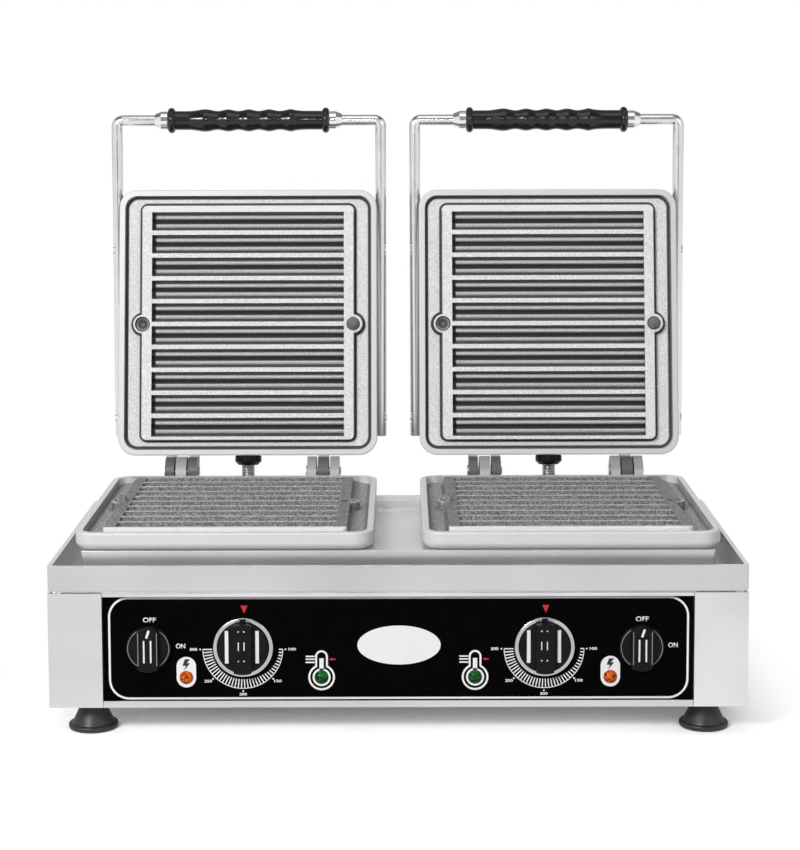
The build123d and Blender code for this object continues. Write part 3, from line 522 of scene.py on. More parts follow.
def box_distance(tree, place, center, half, corner):
    """How far each point lies outside a rectangle with round corners, less than 0 inside it."""
    reach = vector_math(tree, "ABSOLUTE", vector_math(tree, "SUBTRACT", place, (*center, 0.0)))
    past = vector_math(tree, "SUBTRACT", reach, (half[0] - corner, half[1] - corner, ALL_HEIGHTS))
    outer = vector_math(tree, "LENGTH", vector_math(tree, "MAXIMUM", past, (0.0, 0.0, 0.0)))
    parts = vector_parts(tree, past)
    inner = combined(tree, "MINIMUM", combined(tree, "MAXIMUM", parts["X"], parts["Y"]), 0.0)
    return combined(tree, "SUBTRACT", combined(tree, "ADD", outer, inner), corner)


def band_mask(tree, distance, start, end):
    """A share of 1 between two distances, with soft ends."""
    after = smooth_step(tree, distance, start - MARK_SOFT, start + MARK_SOFT)
    before = smooth_step(tree, distance, end - MARK_SOFT, end + MARK_SOFT)
    return combined(tree, "SUBTRACT", after, before)


def mixed_color(tree, mask, low, high, blend="MIX"):
    """Two colours, plain or changing, mixed by a mask."""
    mix = add_node(tree, "ShaderNodeMix", data_type="RGBA", blend_type=blend)
    feed(tree, mask, mix.inputs["Factor"])
    for name, color in (("A", low), ("B", high)):
        if isinstance(color, tuple):
            mix.inputs[name].default_value = (*color, 1.0)
        else:
            tree.links.new(color, mix.inputs[name])
    return mix.outputs["Result"]


def mixed_shader(tree, mask, low, high):
    """Two shaders mixed by a mask."""
    mix = add_node(tree, "ShaderNodeMixShader")
    for socket, value in zip(mix.inputs, (mask, low, high)):
        tree.links.new(value, socket)
    return mix.outputs["Shader"]


def added_shaders(tree, first, second):
    """The light of two shaders together."""
    both = add_node(tree, "ShaderNodeAddShader")
    for socket, value in zip(both.inputs, (first, second)):
        tree.links.new(value, socket)
    return both.outputs["Shader"]


def new_group(name, inputs, outputs):
    """A shader node group with number inputs and outputs."""
    group = bpy.data.node_groups.new(name, "ShaderNodeTree")
    for socket_name, value in inputs.items():
        socket = group.interface.new_socket(socket_name, in_out="INPUT", socket_type="NodeSocketFloat")
        socket.default_value = value
    for socket_name in outputs:
        group.interface.new_socket(socket_name, in_out="OUTPUT", socket_type="NodeSocketFloat")
    start = group.nodes.new("NodeGroupInput")
    end = group.nodes.new("NodeGroupOutput")
    return group, start.outputs, end.inputs


def grain_and_sheen_group():
    """Fine brushed lines along X, with broad soft bands of painted sheen across them."""
    group, start, end = new_group(
        "brushed_grain_and_sheen",
        {"Along": 4.0, "Across": 900.0, "Bands": 9.0, "Share": 0.7, "Low": 0.28, "High": 0.42},
        ("Roughness", "Height", "Shade"),
    )
    links = group.links
    place = object_place(group)
    scale = add_node(group, "ShaderNodeCombineXYZ")
    links.new(start["Along"], scale.inputs["X"])
    links.new(start["Across"], scale.inputs["Y"])
    links.new(start["Across"], scale.inputs["Z"])
    stretched = add_node(group, "ShaderNodeMapping")
    links.new(place, stretched.inputs["Vector"])
    links.new(scale.outputs["Vector"], stretched.inputs["Scale"])
    fine = noise(group, stretched.outputs["Vector"], 1.0, detail=3.0)
    # The broad bands are a painted sheen, mixed with the fine grain into the colour
    broad = noise(group, place, start["Bands"], detail=1.0)
    shade = add_node(group, "ShaderNodeMix", data_type="FLOAT")
    links.new(start["Share"], shade.inputs["Factor"])
    links.new(fine, shade.inputs["A"])
    links.new(smooth_step(group, broad, *CLOUD_RANGE), shade.inputs["B"])
    links.new(spread(group, fine, start["Low"], start["High"]), end["Roughness"])
    links.new(fine, end["Height"])
    links.new(shade.outputs["Result"], end["Shade"])
    return group


def cast_group():
    """The fine pebbled skin of a coated casting, with a painted sparkle and shade that follow its pebbles.
    """
    group, start, end = new_group(
        "cast_skin",
        {"Size": 900.0, "Patch": 35.0},
        ("Height", "Pebble_light_and_shade", "Patch"),
    )
    links = group.links
    place = object_place(group)
    pebbles = noise(group, place, start["Size"], detail=4.0, roughness=PEBBLE_ROUGHNESS)
    links.new(pebbles, end["Height"])
    links.new(spread(group, pebbles, 0.0, 1.0, *PEBBLE_SHADE_RANGE), end["Pebble_light_and_shade"])
    links.new(noise(group, place, start["Patch"], detail=3.0), end["Patch"])
    return group


def smudge_group():
    """Soft uneven gloss, as handling leaves it."""
    group, start, end = new_group(
        "soft_smudge",
        {"Scale": 60.0, "Low": 0.2, "High": 0.4},
        ("Roughness", "Mask"),
    )
    links = group.links
    cloud = noise(group, object_place(group), start["Scale"], detail=5.0)
    links.new(spread(group, cloud, start["Low"], start["High"], *CLOUD_RANGE), end["Roughness"])
    links.new(cloud, end["Mask"])
    return group


GRAIN_AND_SHEEN = grain_and_sheen_group()
CAST_SKIN = cast_group()
SMUDGE = smudge_group()


def placed_group(tree, group, **values):
    """The outputs of a group in a material, with its own values."""
    node = tree.nodes.new("ShaderNodeGroup")
    node.node_tree = group
    for key, value in values.items():
        node.inputs[key].default_value = value
    return node.outputs


def bumped(tree, shader, height, strength, distance):
    """Feeds a height into the shader's normal."""
    bump = add_node(tree, "ShaderNodeBump")
    bump.inputs["Strength"].default_value = strength
    bump.inputs["Distance"].default_value = distance
    tree.links.new(height, bump.inputs["Height"])
    tree.links.new(bump.outputs["Normal"], shader.inputs["Normal"])


def smudged(tree, shader, scale, low, high, rough_low, rough_high):
    """Gives a shader soft clouds of colour and of gloss."""
    smudge = placed_group(tree, SMUDGE, Scale=scale, Low=rough_low, High=rough_high)
    tree.links.new(mixed_color(tree, smudge["Mask"], low, high), shader.inputs["Base Color"])
    tree.links.new(smudge["Roughness"], shader.inputs["Roughness"])


def brushed_steel(name, low, high, rough_low, rough_high, bands, share, metal=1.0):
    """Brushed sheet with fine lines along X, and broad bands of painted sheen in its colour."""
    material, tree, shader = new_material(name)
    shader.inputs["Metallic"].default_value = metal
    grain = placed_group(tree, GRAIN_AND_SHEEN, Along=BRUSH_ALONG, Across=BRUSH_ACROSS, Bands=bands,
                         Share=share, Low=rough_low, High=rough_high)
    tree.links.new(mixed_color(tree, grain["Shade"], low, high), shader.inputs["Base Color"])
    tree.links.new(grain["Roughness"], shader.inputs["Roughness"])
    bumped(tree, shader, grain["Height"], *BRUSH_RELIEF)
    return material


def polished_metal(name, low, high, rough_low, rough_high):
    """Smooth turned or plated metal with slight smudges."""
    material, tree, shader = new_material(name)
    shader.inputs["Metallic"].default_value = 1.0
    smudged(tree, shader, METAL_SMUDGES, low, high, rough_low, rough_high)
    return material


def threaded_metal(name, low, high, rough_low, rough_high):
    """A steel stud with fine turns of thread along Z, painted dark in the roots of the thread as shade."""
    material, tree, shader = new_material(name)
    shader.inputs["Metallic"].default_value = 1.0
    smudge = placed_group(tree, SMUDGE, Scale=METAL_SMUDGES, Low=rough_low, High=rough_high)
    tree.links.new(smudge["Roughness"], shader.inputs["Roughness"])
    turns = add_node(tree, "ShaderNodeTexWave", bands_direction="Z")
    turns.inputs["Scale"].default_value = THREAD_SCALE
    tree.links.new(object_place(tree), turns.inputs["Vector"])
    # Painted shade: dark in the thread's roots, light on its crests
    tree.links.new(mixed_color(tree, turns.outputs["Fac"], low, high), shader.inputs["Base Color"])
    bumped(tree, shader, turns.outputs["Fac"], *THREAD_RELIEF)
    return material


def moulded(name, low, high, rough_low, rough_high, specular=0.5):
    """Moulded plastic, rubber or enamel with soft smudges."""
    material, tree, shader = new_material(name)
    shader.inputs["Specular IOR Level"].default_value = specular
    smudged(tree, shader, PLASTIC_SMUDGES, low, high, rough_low, rough_high)
    return material


def lamp_lens(name, low, high, glow):
    """A clear coloured lens with facets, painted light and shade on each facet, and a little light in it.
    """
    material, tree, shader = new_material(name)
    shader.inputs["Specular IOR Level"].default_value = LENS_GLOSS
    shader.inputs["Emission Strength"].default_value = glow
    facets = add_node(tree, "ShaderNodeTexVoronoi")
    facets.inputs["Scale"].default_value = LENS_FACETS
    tree.links.new(object_place(tree), facets.inputs["Vector"])
    split = add_node(tree, "ShaderNodeSeparateColor")
    tree.links.new(facets.outputs["Color"], split.inputs["Color"])
    # Painted light and shade: each facet's colour runs from dark to bright
    color = mixed_color(tree, split.outputs["Red"], low, high)
    tree.links.new(color, shader.inputs["Base Color"])
    tree.links.new(color, shader.inputs["Emission Color"])
    tree.links.new(spread(tree, split.outputs["Green"], *LENS_ROUGHNESS), shader.inputs["Roughness"])
    return material


def wool(name, low, high):
    """Fibrous mineral wool."""
    material, tree, shader = new_material(name)
    shader.inputs["Roughness"].default_value = WOOL_ROUGHNESS
    skin = placed_group(tree, CAST_SKIN, Size=WOOL_SCALE)
    tree.links.new(mixed_color(tree, skin["Height"], low, high), shader.inputs["Base Color"])
    bumped(tree, shader, skin["Height"], *WOOL_RELIEF)
    return material


def casting_place(node, lean):
    """The hinge line, the middle and the way forward of a casting that is turned level."""
    hinge = Matrix.Rotation(lean, 3, "X") @ Vector((0.0, HINGE_Y, MATING_Z))
    away = 1.0 if lean else -1.0
    middle = Vector((node_center(node).x, hinge.y + away * (HINGE_GAP + PLATE_LENGTH / 2)))
    return hinge, middle, away


def turned_frame(tree, lean):
    """The normal and the place of each point, turned until the casting lies level."""
    source = add_node(tree, "ShaderNodeTexCoord")
    turned = []
    for output in ("Normal", "Object"):
        rotate = add_node(tree, "ShaderNodeVectorRotate", rotation_type="X_AXIS")
        rotate.inputs["Angle"].default_value = lean
        tree.links.new(source.outputs[output], rotate.inputs["Vector"])
        turned.append(rotate.outputs["Vector"])
    return turned


def darkened(tree, light, mask, share=1.0):
    """A light share taken down where a mask is, as painted shade."""
    loss = combined(tree, "MULTIPLY", mask, share)
    return combined(tree, "MULTIPLY", light, combined(tree, "SUBTRACT", 1.0, loss))


def groove_painted_shade(tree, facing, depth, floor_loss):
    """Painted light and shade on the platform and its grooves, by their slope and their depth."""
    flat = smooth_step(tree, facing, *FLAT_FACING)
    sloped = smooth_step(tree, facing, *SLOPED_FACING)
    shallow = smooth_step(tree, depth, *CREST_DEPTH)
    light = combined(tree, "MAXIMUM", flat, combined(tree, "MULTIPLY", sloped, shallow))
    return darkened(tree, light, smooth_step(tree, depth, *FLOOR_DEPTH), floor_loss)


def groove_end_painted_shadow(tree, light, place, depth, middle, on_platform, side_loss):
    """Paints shade on the strips beside the grooves, and a painted shadow in the grooves at their left
    ends.
    """
    field = box_distance(tree, place, middle, (GROOVE_HALF_LENGTH, ALL_LENGTHS), 0.0)
    beside = smooth_step(tree, field, -STRIP_SOFT, STRIP_SOFT)
    light = darkened(tree, light, combined(tree, "MULTIPLY", on_platform, beside), side_loss)
    end_x = middle.x - GROOVE_HALF_LENGTH
    ends = band_mask(tree, vector_parts(tree, place)["X"], end_x, end_x + GROOVE_END_SHADE)
    ends = combined(tree, "MULTIPLY", ends, smooth_step(tree, depth, *END_DEPTH))
    return darkened(tree, light, combined(tree, "MULTIPLY", ends, on_platform))


def locator_painted_shade(tree, light, place, middle, away, platform):
    """Paints shade in the locators, and a line of painted shade around the platform and their bosses."""
    spot_edge = LOCATOR_SHADE - LOCATOR_BOSS
    for side in SIDES.values():
        center = (middle.x + side * LOCATOR_REACH, middle.y - away * LOCATOR_SHIFT)
        boss = box_distance(tree, place, center, (LOCATOR_BOSS, LOCATOR_BOSS), LOCATOR_BOSS)
        spot = smooth_step(tree, boss, spot_edge + MARK_SOFT, spot_edge - MARK_SOFT)
        light = darkened(tree, light, spot, LOCATOR_SHADE_LOSS)
        platform = combined(tree, "MINIMUM", platform, boss)
    return darkened(tree, light, band_mask(tree, platform, 0.0, PLATFORM_LINE))


def casting_skin_and_painted_light(tree, node, lean, floor_loss, side_loss):
    """Where a casting is pebbled, its painted light and shade, and where the painted highlight at the
    front of its platform is.
    """
    hinge, middle, away = casting_place(node, lean)
    plate_half = (PLATE_WIDTH / 2, PLATE_LENGTH / 2)
    platform_half = (plate_half[0] - PLATFORM_SIDE_MARGIN, plate_half[1] - PLATFORM_END_MARGIN)
    facing, place = turned_frame(tree, lean)
    parts = vector_parts(tree, place)
    depth = combined(tree, "SUBTRACT", hinge.z, parts["Z"])
    light = groove_painted_shade(tree, vector_parts(tree, facing)["Z"], depth, floor_loss)
    rim = box_distance(tree, place, middle, plate_half, PLATE_CORNER)
    # Painted shade: a dark line just inside the rim
    light = darkened(tree, light, band_mask(tree, rim, -RIM_WIDTH - RIM_LINE, -RIM_WIDTH))
    platform = box_distance(tree, place, middle, platform_half, PLATFORM_CORNER)
    on_platform = smooth_step(tree, platform, *PLATFORM_EDGE)
    light = groove_end_painted_shadow(tree, light, place, depth, middle, on_platform, side_loss)
    light = locator_painted_shade(tree, light, place, middle, away, platform)
    # Painted highlight: a light band along the front of the platform
    front_y = middle.y + away * (platform_half[1] - FRONT_HIGHLIGHT_WIDTH)
    front = smooth_step(tree, parts["Y"], front_y, front_y + away * FRONT_HIGHLIGHT_SOFT)
    front = combined(tree, "MULTIPLY", front, on_platform)
    inside = smooth_step(tree, rim, RIM_SOFT - RIM_WIDTH, -RIM_SOFT - RIM_WIDTH)
    # Painted shade: the hinge lugs are darker than the rim
    lug_y = hinge.y + away * HINGE_GAP
    lug = smooth_step(tree, parts["Y"], lug_y, lug_y - away * LUG_SOFT)
    rim_light = darkened(tree, combined(tree, "SUBTRACT", 1.0, inside), lug, LUG_SHADE_LOSS)
    light = combined(tree, "MAXIMUM", combined(tree, "MULTIPLY", light, inside), rim_light)
    return inside, light, front


def coated_casting(name, node, lean, low, high, smooth, front_highlight, painted_shade_share,
                   floor_loss=0.0, side_loss=0.0):
    """Coated cast metal, pebbled inside its rim, with painted shade in its recesses and on its walls and a
    painted highlight at the front of its platform.
    """
    material, tree, shader = new_material(name)
    shader.inputs["Metallic"].default_value = CASTING_METAL
    inside, light, front = casting_skin_and_painted_light(tree, node, lean, floor_loss, side_loss)
    skin = placed_group(tree, CAST_SKIN, Size=PEBBLE_SCALE, Patch=PEBBLE_PATCHES)
    # Painted sparkle and shade on the pebbles
    color = mixed_color(tree, skin["Pebble_light_and_shade"], low, high)
    color = mixed_color(tree, inside, smooth, color)
    # Painted shade: the colour is taken down where the painted light share is low
    color = mixed_color(tree, 1.0, color, spread(tree, light, painted_shade_share, 1.0), "MULTIPLY")
    color = mixed_color(tree, front, color, front_highlight)
    tree.links.new(color, shader.inputs["Base Color"])
    tree.links.new(spread(tree, skin["Patch"], *CASTING_ROUGHNESS), shader.inputs["Roughness"])
    bumped(tree, shader, combined(tree, "MULTIPLY", skin["Height"], inside), *PEBBLE_RELIEF)
    return material


# Both plates have one coating; their different greys are painted light and shade
def lower_casting(side):
    """The finish of one lower plate, with its painted light and shade."""
    return coated_casting(
        "lower_casting_" + side, "lower_plate_" + side, 0.0, grey(0.28), grey(1.0),
        smooth=grey(0.72), front_highlight=grey(0.98), painted_shade_share=0.38, floor_loss=0.55, side_loss=0.95)


def upper_casting(side):
    """The finish of one upper plate, which stands open on its edge, with its painted light and shade."""
    return coated_casting(
        "upper_casting_" + side, "upper_plate_" + side, LID_LEAN - pi / 2, grey(0.76), grey(0.98),
        smooth=grey(0.66), front_highlight=grey(0.90), painted_shade_share=0.06)


# The finishes: darkest and lightest colour, then lowest and highest roughness
# The broad colour bands of the brushed steels are painted sheen
PANEL_STEEL = brushed_steel("panel_steel", grey(0.64), grey(0.82), 0.26, 0.34, bands=11.0, share=0.6)
PAN_STEEL = brushed_steel("pan_steel", grey(0.56), grey(0.70), 0.25, 0.32, bands=7.0, share=0.6, metal=0.8)
COVER_STEEL = brushed_steel("cover_steel", grey(0.55), grey(0.68), 0.28, 0.36, bands=9.0, share=0.45)
BAR_STEEL = polished_metal("bar_steel", grey(0.70), grey(0.82), 0.12, 0.2)
BEZEL_CHROME = polished_metal("bezel_chrome", grey(0.42), grey(0.62), 0.16, 0.3)
BRIGHT_CHROME = polished_metal("bright_chrome", grey(0.80), grey(0.90), 0.05, 0.12)
PIN_STEEL = polished_metal("pin_steel", grey(0.42), grey(0.60), 0.25, 0.4)
# The stud's dark grey is painted shade in the roots of its thread
THREAD_STEEL = threaded_metal("thread_steel", grey(0.08), grey(0.62), 0.2, 0.35)
SCREW_STEEL = polished_metal("screw_steel", grey(0.60), grey(0.75), 0.18, 0.3)
ELEMENT_STEEL = polished_metal("element_steel", (0.16, 0.15, 0.14), (0.30, 0.28, 0.26), 0.4, 0.6)
LOWER_CASTINGS = {side: lower_casting(side) for side in SIDES}
UPPER_CASTINGS = {side: upper_casting(side) for side in SIDES}
PANEL_BLACK = moulded("panel_black", grey(0.001), grey(0.002), 0.3, 0.4, specular=0.015)
GRIP_BLACK = moulded("grip_black", grey(0.003), grey(0.008), 0.12, 0.2)
KNOB_BLACK = moulded("knob_black", grey(0.004), grey(0.009), 0.25, 0.4, specular=0.12)
FOOT_RUBBER = moulded("foot_rubber", (0.010, 0.010, 0.011), (0.024, 0.024, 0.026), 0.4, 0.6)
GLAND_BLACK = moulded("gland_black", grey(0.02), grey(0.04), 0.4, 0.55)
CONTROL_CREAM = moulded("control_cream", (0.62, 0.60, 0.54), (0.74, 0.72, 0.66), 0.4, 0.55)
# White for the print, and for the painted highlights beside the thermostat grips
PRINT_AND_HIGHLIGHT_WHITE = moulded("print_white", grey(0.93), grey(0.98), 0.35, 0.5)
# The grey of the painted highlights on the switch knobs' edges
HIGHLIGHT_GREY = moulded("highlight_grey", grey(0.16), grey(0.36), 0.3, 0.45)
PRINT_RED = moulded("print_red", (0.62, 0.01, 0.03), (0.80, 0.02, 0.05), 0.35, 0.5)
PRINT_BLACK = moulded("print_black", grey(0.004), grey(0.008), 0.3, 0.45)
LENS_ORANGE = lamp_lens("lens_orange", (0.10, 0.006, 0.0), (0.95, 0.17, 0.01), glow=0.05)
LENS_GREEN = lamp_lens("lens_green", (0.0, 0.006, 0.001), (0.010, 0.16, 0.025), glow=0.02)
MINERAL_WOOL = wool("mineral_wool", (0.42, 0.38, 0.26), (0.66, 0.60, 0.44))


def paint(piece, material):
    """Gives a piece or a node one material."""
    piece.data.materials.clear()
    piece.data.materials.append(material)


# The finish of each node, by the start of its name
NODE_FINISHES = {
    "side_panel": PANEL_STEEL,
    "rear_panel": PANEL_STEEL,
    "base_plate": COVER_STEEL,
    "top_rail": PANEL_STEEL,
    "front_panel": PANEL_BLACK,
    "foot_screws": SCREW_STEEL,
    "case_screws": SCREW_STEEL,
    "cover_screws": SCREW_STEEL,
    "handle_screws": SCREW_STEEL,
    "plate_bolts": SCREW_STEEL,
    "foot_": FOOT_RUBBER,
    "drip_pan": PAN_STEEL,
    "deck": PAN_STEEL,
    "channel_cover": PAN_STEEL,
    "stop_studs": THREAD_STEEL,
    "stop_knob": KNOB_BLACK,
    "base_hinge_pins": PIN_STEEL,
    "lid_hinge_pin": PIN_STEEL,
    "gland": GLAND_BLACK,
    "mains_lamp": LENS_ORANGE,
    "heat_lamp": LENS_GREEN,
    "switch_knob": KNOB_BLACK,
    "thermostat_knob": KNOB_BLACK,
    "switch_": CONTROL_CREAM,
    "thermostat_": CONTROL_CREAM,
    "bezel": BEZEL_CHROME,
    "lower_plate_left": LOWER_CASTINGS["left"],
    "lower_plate_right": LOWER_CASTINGS["right"],
    "upper_plate_left": UPPER_CASTINGS["left"],
    "upper_plate_right": UPPER_CASTINGS["right"],
    "lower_element": ELEMENT_STEEL,
    "upper_element": ELEMENT_STEEL,
    "lid_cover": COVER_STEEL,
    "insulation": MINERAL_WOOL,
    "handle_bar": BAR_STEEL,
    "ferrules": BRIGHT_CHROME,
    "grip": GRIP_BLACK,
}


def paint_nodes():
    """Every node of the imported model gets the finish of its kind."""
    for name, node in nodes.items():
        for start, material in NODE_FINISHES.items():
            if name.startswith(start):
                paint(node, material)
                break


paint_nodes()


def panel_border():
    """The white line around the control panel."""
    points = rounded_points(
        PANEL_LOW.x + BORDER_MARGIN_LEFT,
        PANEL_HIGH.x - BORDER_MARGIN_RIGHT,
        PANEL_LOW.z + BORDER_MARGIN_BOTTOM,
        PANEL_HIGH.z - BORDER_MARGIN_TOP,
        BORDER_CORNER,
    )
    return hollowed(flat_print("border", points, PANEL_Y), BORDER_LINE)


def panel_oval():
    """The bare white oval in the middle of the control panel."""
    points = []
    for x, z in circle_points(0.0, 0.0, 0.5, OVAL_STEPS):
        points.append((OVAL_X + x * OVAL_WIDTH, OVAL_Z + z * OVAL_HEIGHT))
    return flat_print("oval", points, PANEL_Y)


def switch_words(side):
    """The words beside one switch."""
    center = node_center("switch_knob_" + side)
    off_word = word_print("off_word", "OFF", center.x + OFF_WORD_SHIFT, center.z + OFF_WORD_RISE,
                          WORD_HEIGHT, OFF_WORD_WIDTH, PANEL_Y, WORD_WEIGHT)
    on_word = word_print("on_word", "ON", center.x + ON_WORD_REACH, center.z + ON_WORD_RISE,
                         WORD_HEIGHT, ON_WORD_WIDTH, PANEL_Y, WORD_WEIGHT)
    return [off_word, on_word]


def scale_lines(x, z):
    """The fan of lines around one thermostat knob, and the arc that joins them."""
    pieces = []
    for tick in range(SCALE_TICKS):
        angle = pi + pi * tick / (SCALE_TICKS - 1)
        inner = SCALE_INNER + SCALE_SWELL * max(cos(angle), 0.0) ** 2
        near = (x + inner * cos(angle), z + inner * sin(angle))
        far = (x + SCALE_OUTER * cos(angle), z + SCALE_OUTER * sin(angle))
        pieces.append(slanted_print("tick", near, far, SCALE_LINE, PANEL_Y))
    outer_arc = arc_points(x, z, SCALE_OUTER + SCALE_ARC_LINE / 2, pi, 2 * pi, SCALE_ARC_STEPS)
    inner_arc = arc_points(x, z, SCALE_OUTER - SCALE_ARC_LINE / 2, 2 * pi, pi, SCALE_ARC_STEPS)
    pieces.append(flat_print("scale_arc", outer_arc + inner_arc, PANEL_Y))
    return pieces


def scale_numbers(x, z):
    """The numbers around one thermostat knob, each with its dot."""
    pieces = []
    for place in range(NUMBER_COUNT):
        angle = 2 * pi - pi * place / (NUMBER_COUNT - 1)
        number = str(NUMBER_LOWEST + NUMBER_STEP * place)
        reach_x = NUMBER_REACH_X * cos(angle)
        reach_z = NUMBER_REACH_Z * sin(angle)
        pieces.append(word_print("number", number, x + reach_x, z + reach_z,
                                 NUMBER_HEIGHT, NUMBER_WIDTH, PANEL_Y, NUMBER_WEIGHT))
        dot_x = x + SCALE_DOT_REACH * cos(angle)
        dot_z = z + SCALE_DOT_REACH * sin(angle)
        pieces.append(flat_print("dot", circle_points(dot_x, dot_z, SCALE_DOT), PANEL_Y))
    return pieces


def heat_scale(side):
    """The whole scale around one thermostat knob."""
    center = node_center("bezel_" + side)
    x = center.x + SCALE_SHIFT_X
    z = center.z + SCALE_SHIFT_Z
    return scale_lines(x, z) + scale_numbers(x, z)


def lamp_pill(side):
    """The white field behind one mains lamp."""
    center = node_center("mains_lamp_" + side)
    half = PILL_WIDTH / 2
    bottom = center.z + PILL_SHIFT - PILL_HEIGHT / 2
    points = rounded_points(center.x - half, center.x + half, bottom, bottom + PILL_HEIGHT, half)
    return flat_print("pill", points, PANEL_Y)


def lightning_bolt(side):
    """The lightning bolt above one mains lamp."""
    center = node_center("mains_lamp_" + side)
    z = center.z + BOLT_RISE
    half = BOLT_HALF
    rise = BOLT_HEIGHT / 2
    outline = [
        (center.x + half, z + rise),
        (center.x - half * BOLT_TOP_REACH, z + rise),
        (center.x - half, z - rise * BOLT_ELBOW_DROP),
        (center.x - half * BOLT_ELBOW_REACH, z - rise * BOLT_ELBOW_DROP),
        (center.x - half * BOLT_TIP_REACH, z - rise),
        (center.x + half, z + rise * BOLT_SHOULDER_RISE),
        (center.x + half * BOLT_SHOULDER_REACH, z + rise * BOLT_SHOULDER_RISE),
    ]
    return flat_print("bolt", outline, PANEL_Y - PRINT_THICKNESS)


def thermometer(side):
    """The thermometer around one heat lamp."""
    center = node_center("heat_lamp_" + side)
    start = pi / 2 + asin(STEM_HALF / BULB_RADIUS)
    outline = arc_points(center.x, center.z, BULB_RADIUS, start, 3 * pi - start, BULB_STEPS)
    top_z = center.z + STEM_TOP - STEM_HALF
    outline += arc_points(center.x, top_z, STEM_HALF, 0, pi)
    pieces = [hollowed(flat_print("bulb", outline, PANEL_Y), BULB_LINE)]
    ring = circle_points(center.x, center.z, BULB_RING_OUTER, BULB_STEPS)
    pieces.append(hollowed(flat_print("ring", ring, PANEL_Y), BULB_RING_OUTER - BULB_RING_INNER))
    bottom = center.z + BULB_RING_INNER
    pieces.append(upright_print("column", center.x, 2 * COLUMN_HALF,
                                bottom, center.z + COLUMN_TOP, PANEL_Y))
    for height in LEVEL_HEIGHTS:
        z = center.z + height
        pieces.append(bar_print("level", center.x + LEVEL_FAR, center.x + LEVEL_NEAR,
                                z - LEVEL_LINE / 2, z + LEVEL_LINE / 2, PANEL_Y))
    return pieces


def red_pointer(side):
    """The red triangle above one thermostat."""
    dial = node_center("bezel_" + side)
    x = dial.x + MARK_SHIFT
    top = dial.z + MARK_RISE + MARK_HEIGHT / 2
    triangle = [
        (x + MARK_WIDTH / 2, top),
        (x - MARK_WIDTH / 2, top),
        (x, top - MARK_HEIGHT),
    ]
    return flat_print("triangle", triangle, PANEL_Y)


def red_arrow(side):
    """The red arrow beside one thermometer."""
    lens = node_center("heat_lamp_" + side)
    tip_x = lens.x + ARROW_NEAR
    head_x = tip_x + ARROW_HEAD
    far_x = lens.x + ARROW_FAR
    z = lens.z + ARROW_RISE
    arrow = [
        (tip_x, z),
        (head_x, z - ARROW_HALF),
        (head_x, z - ARROW_SHAFT_HALF),
        (far_x, z - ARROW_SHAFT_HALF),
        (far_x, z + ARROW_SHAFT_HALF),
        (head_x, z + ARROW_SHAFT_HALF),
        (head_x, z + ARROW_HALF),
    ]
    return flat_print("arrow", arrow, PANEL_Y)


def switch_marks(side):
    """The pointer and the two lines on the grip of one switch knob."""
    front_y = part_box("switch_knob_" + side)[0].y
    knob = node_center("switch_knob_" + side)
    pieces = []
    for offset in (-SWITCH_LINE_OFFSET, SWITCH_LINE_OFFSET):
        pieces.append(upright_print("line", knob.x + offset, SWITCH_LINE_WIDTH,
                                    knob.z + SWITCH_LINE_BOTTOM, knob.z + SWITCH_LINE_TOP, front_y))
    low_point = (knob.x - SWITCH_MARK_LEAN / 2, knob.z + SWITCH_MARK_BOTTOM)
    high_point = (knob.x + SWITCH_MARK_LEAN, knob.z + SWITCH_MARK_TOP)
    pieces.append(slanted_print("pointer", low_point, high_point, SWITCH_MARK_WIDTH, front_y))
    return pieces


def thermostat_marks_and_highlights(side):
    """The bright stripes beside the grip of one thermostat knob, which are painted highlights, and the
    dots on it.
    """
    grip_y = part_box("thermostat_knob_" + side)[0].y
    dial = node_center("bezel_" + side)
    disc_y = grip_y + THERMOSTAT_GRIP_RISE
    x = dial.x + STRIPE_SHIFT
    middle_z = dial.z + STRIPE_RISE
    pieces = []
    # Painted highlights: a bright stripe on each side of the grip
    for offset in (-STRIPE_OFFSET, STRIPE_OFFSET):
        pieces.append(upright_print("stripe", x + offset, STRIPE_WIDTH,
                                    middle_z - STRIPE_HALF, middle_z + STRIPE_HALF, disc_y))
    z = dial.z + DOT_SHIFT_Z
    for offset in (-DOT_OFFSET, DOT_OFFSET):
        for rise in (-DOT_RISE, DOT_RISE):
            dot = circle_points(x + offset, z + rise, DOT_RADIUS)
            pieces.append(flat_print("dot", dot, grip_y))
        pieces.append(upright_print("dash", x + offset, DASH_WIDTH, z - DASH_HALF, z + DASH_HALF, grip_y))
    return pieces


def switch_edge_highlights(side):
    """Painted highlights along the edges of the grip and the disc of one switch knob."""
    low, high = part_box("switch_knob_" + side)
    knob = node_center("switch_knob_" + side)
    pieces = []
    for offset in (-SWITCH_EDGE_OFFSET, SWITCH_EDGE_OFFSET):
        pieces.append(upright_print("edge", knob.x + offset, SWITCH_EDGE_WIDTH,
                                    knob.z + SWITCH_EDGE_BOTTOM, knob.z + SWITCH_EDGE_TOP, low.y))
    radius = (high.z - low.z) / 2 - SWITCH_RING_INSET
    sweep = pi / 2 - asin(SWITCH_WING_HALF / radius)
    for turn in (0, pi):
        outer = arc_points(knob.x, knob.z, radius, turn - sweep, turn + sweep, KNOB_RING_STEPS)
        inner = arc_points(knob.x, knob.z, radius - SWITCH_RING_LINE, turn + sweep, turn - sweep,
                           KNOB_RING_STEPS)
        pieces.append(flat_print("ring", outer + inner, low.y + SWITCH_GRIP_RISE))
    return pieces


def finished_print(pieces, name, material, body):
    """Printed shapes and painted highlights joined as one thin piece that goes with a body."""
    piece = solid_print(joined(pieces, name))
    paint(piece, material)
    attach(piece, body)


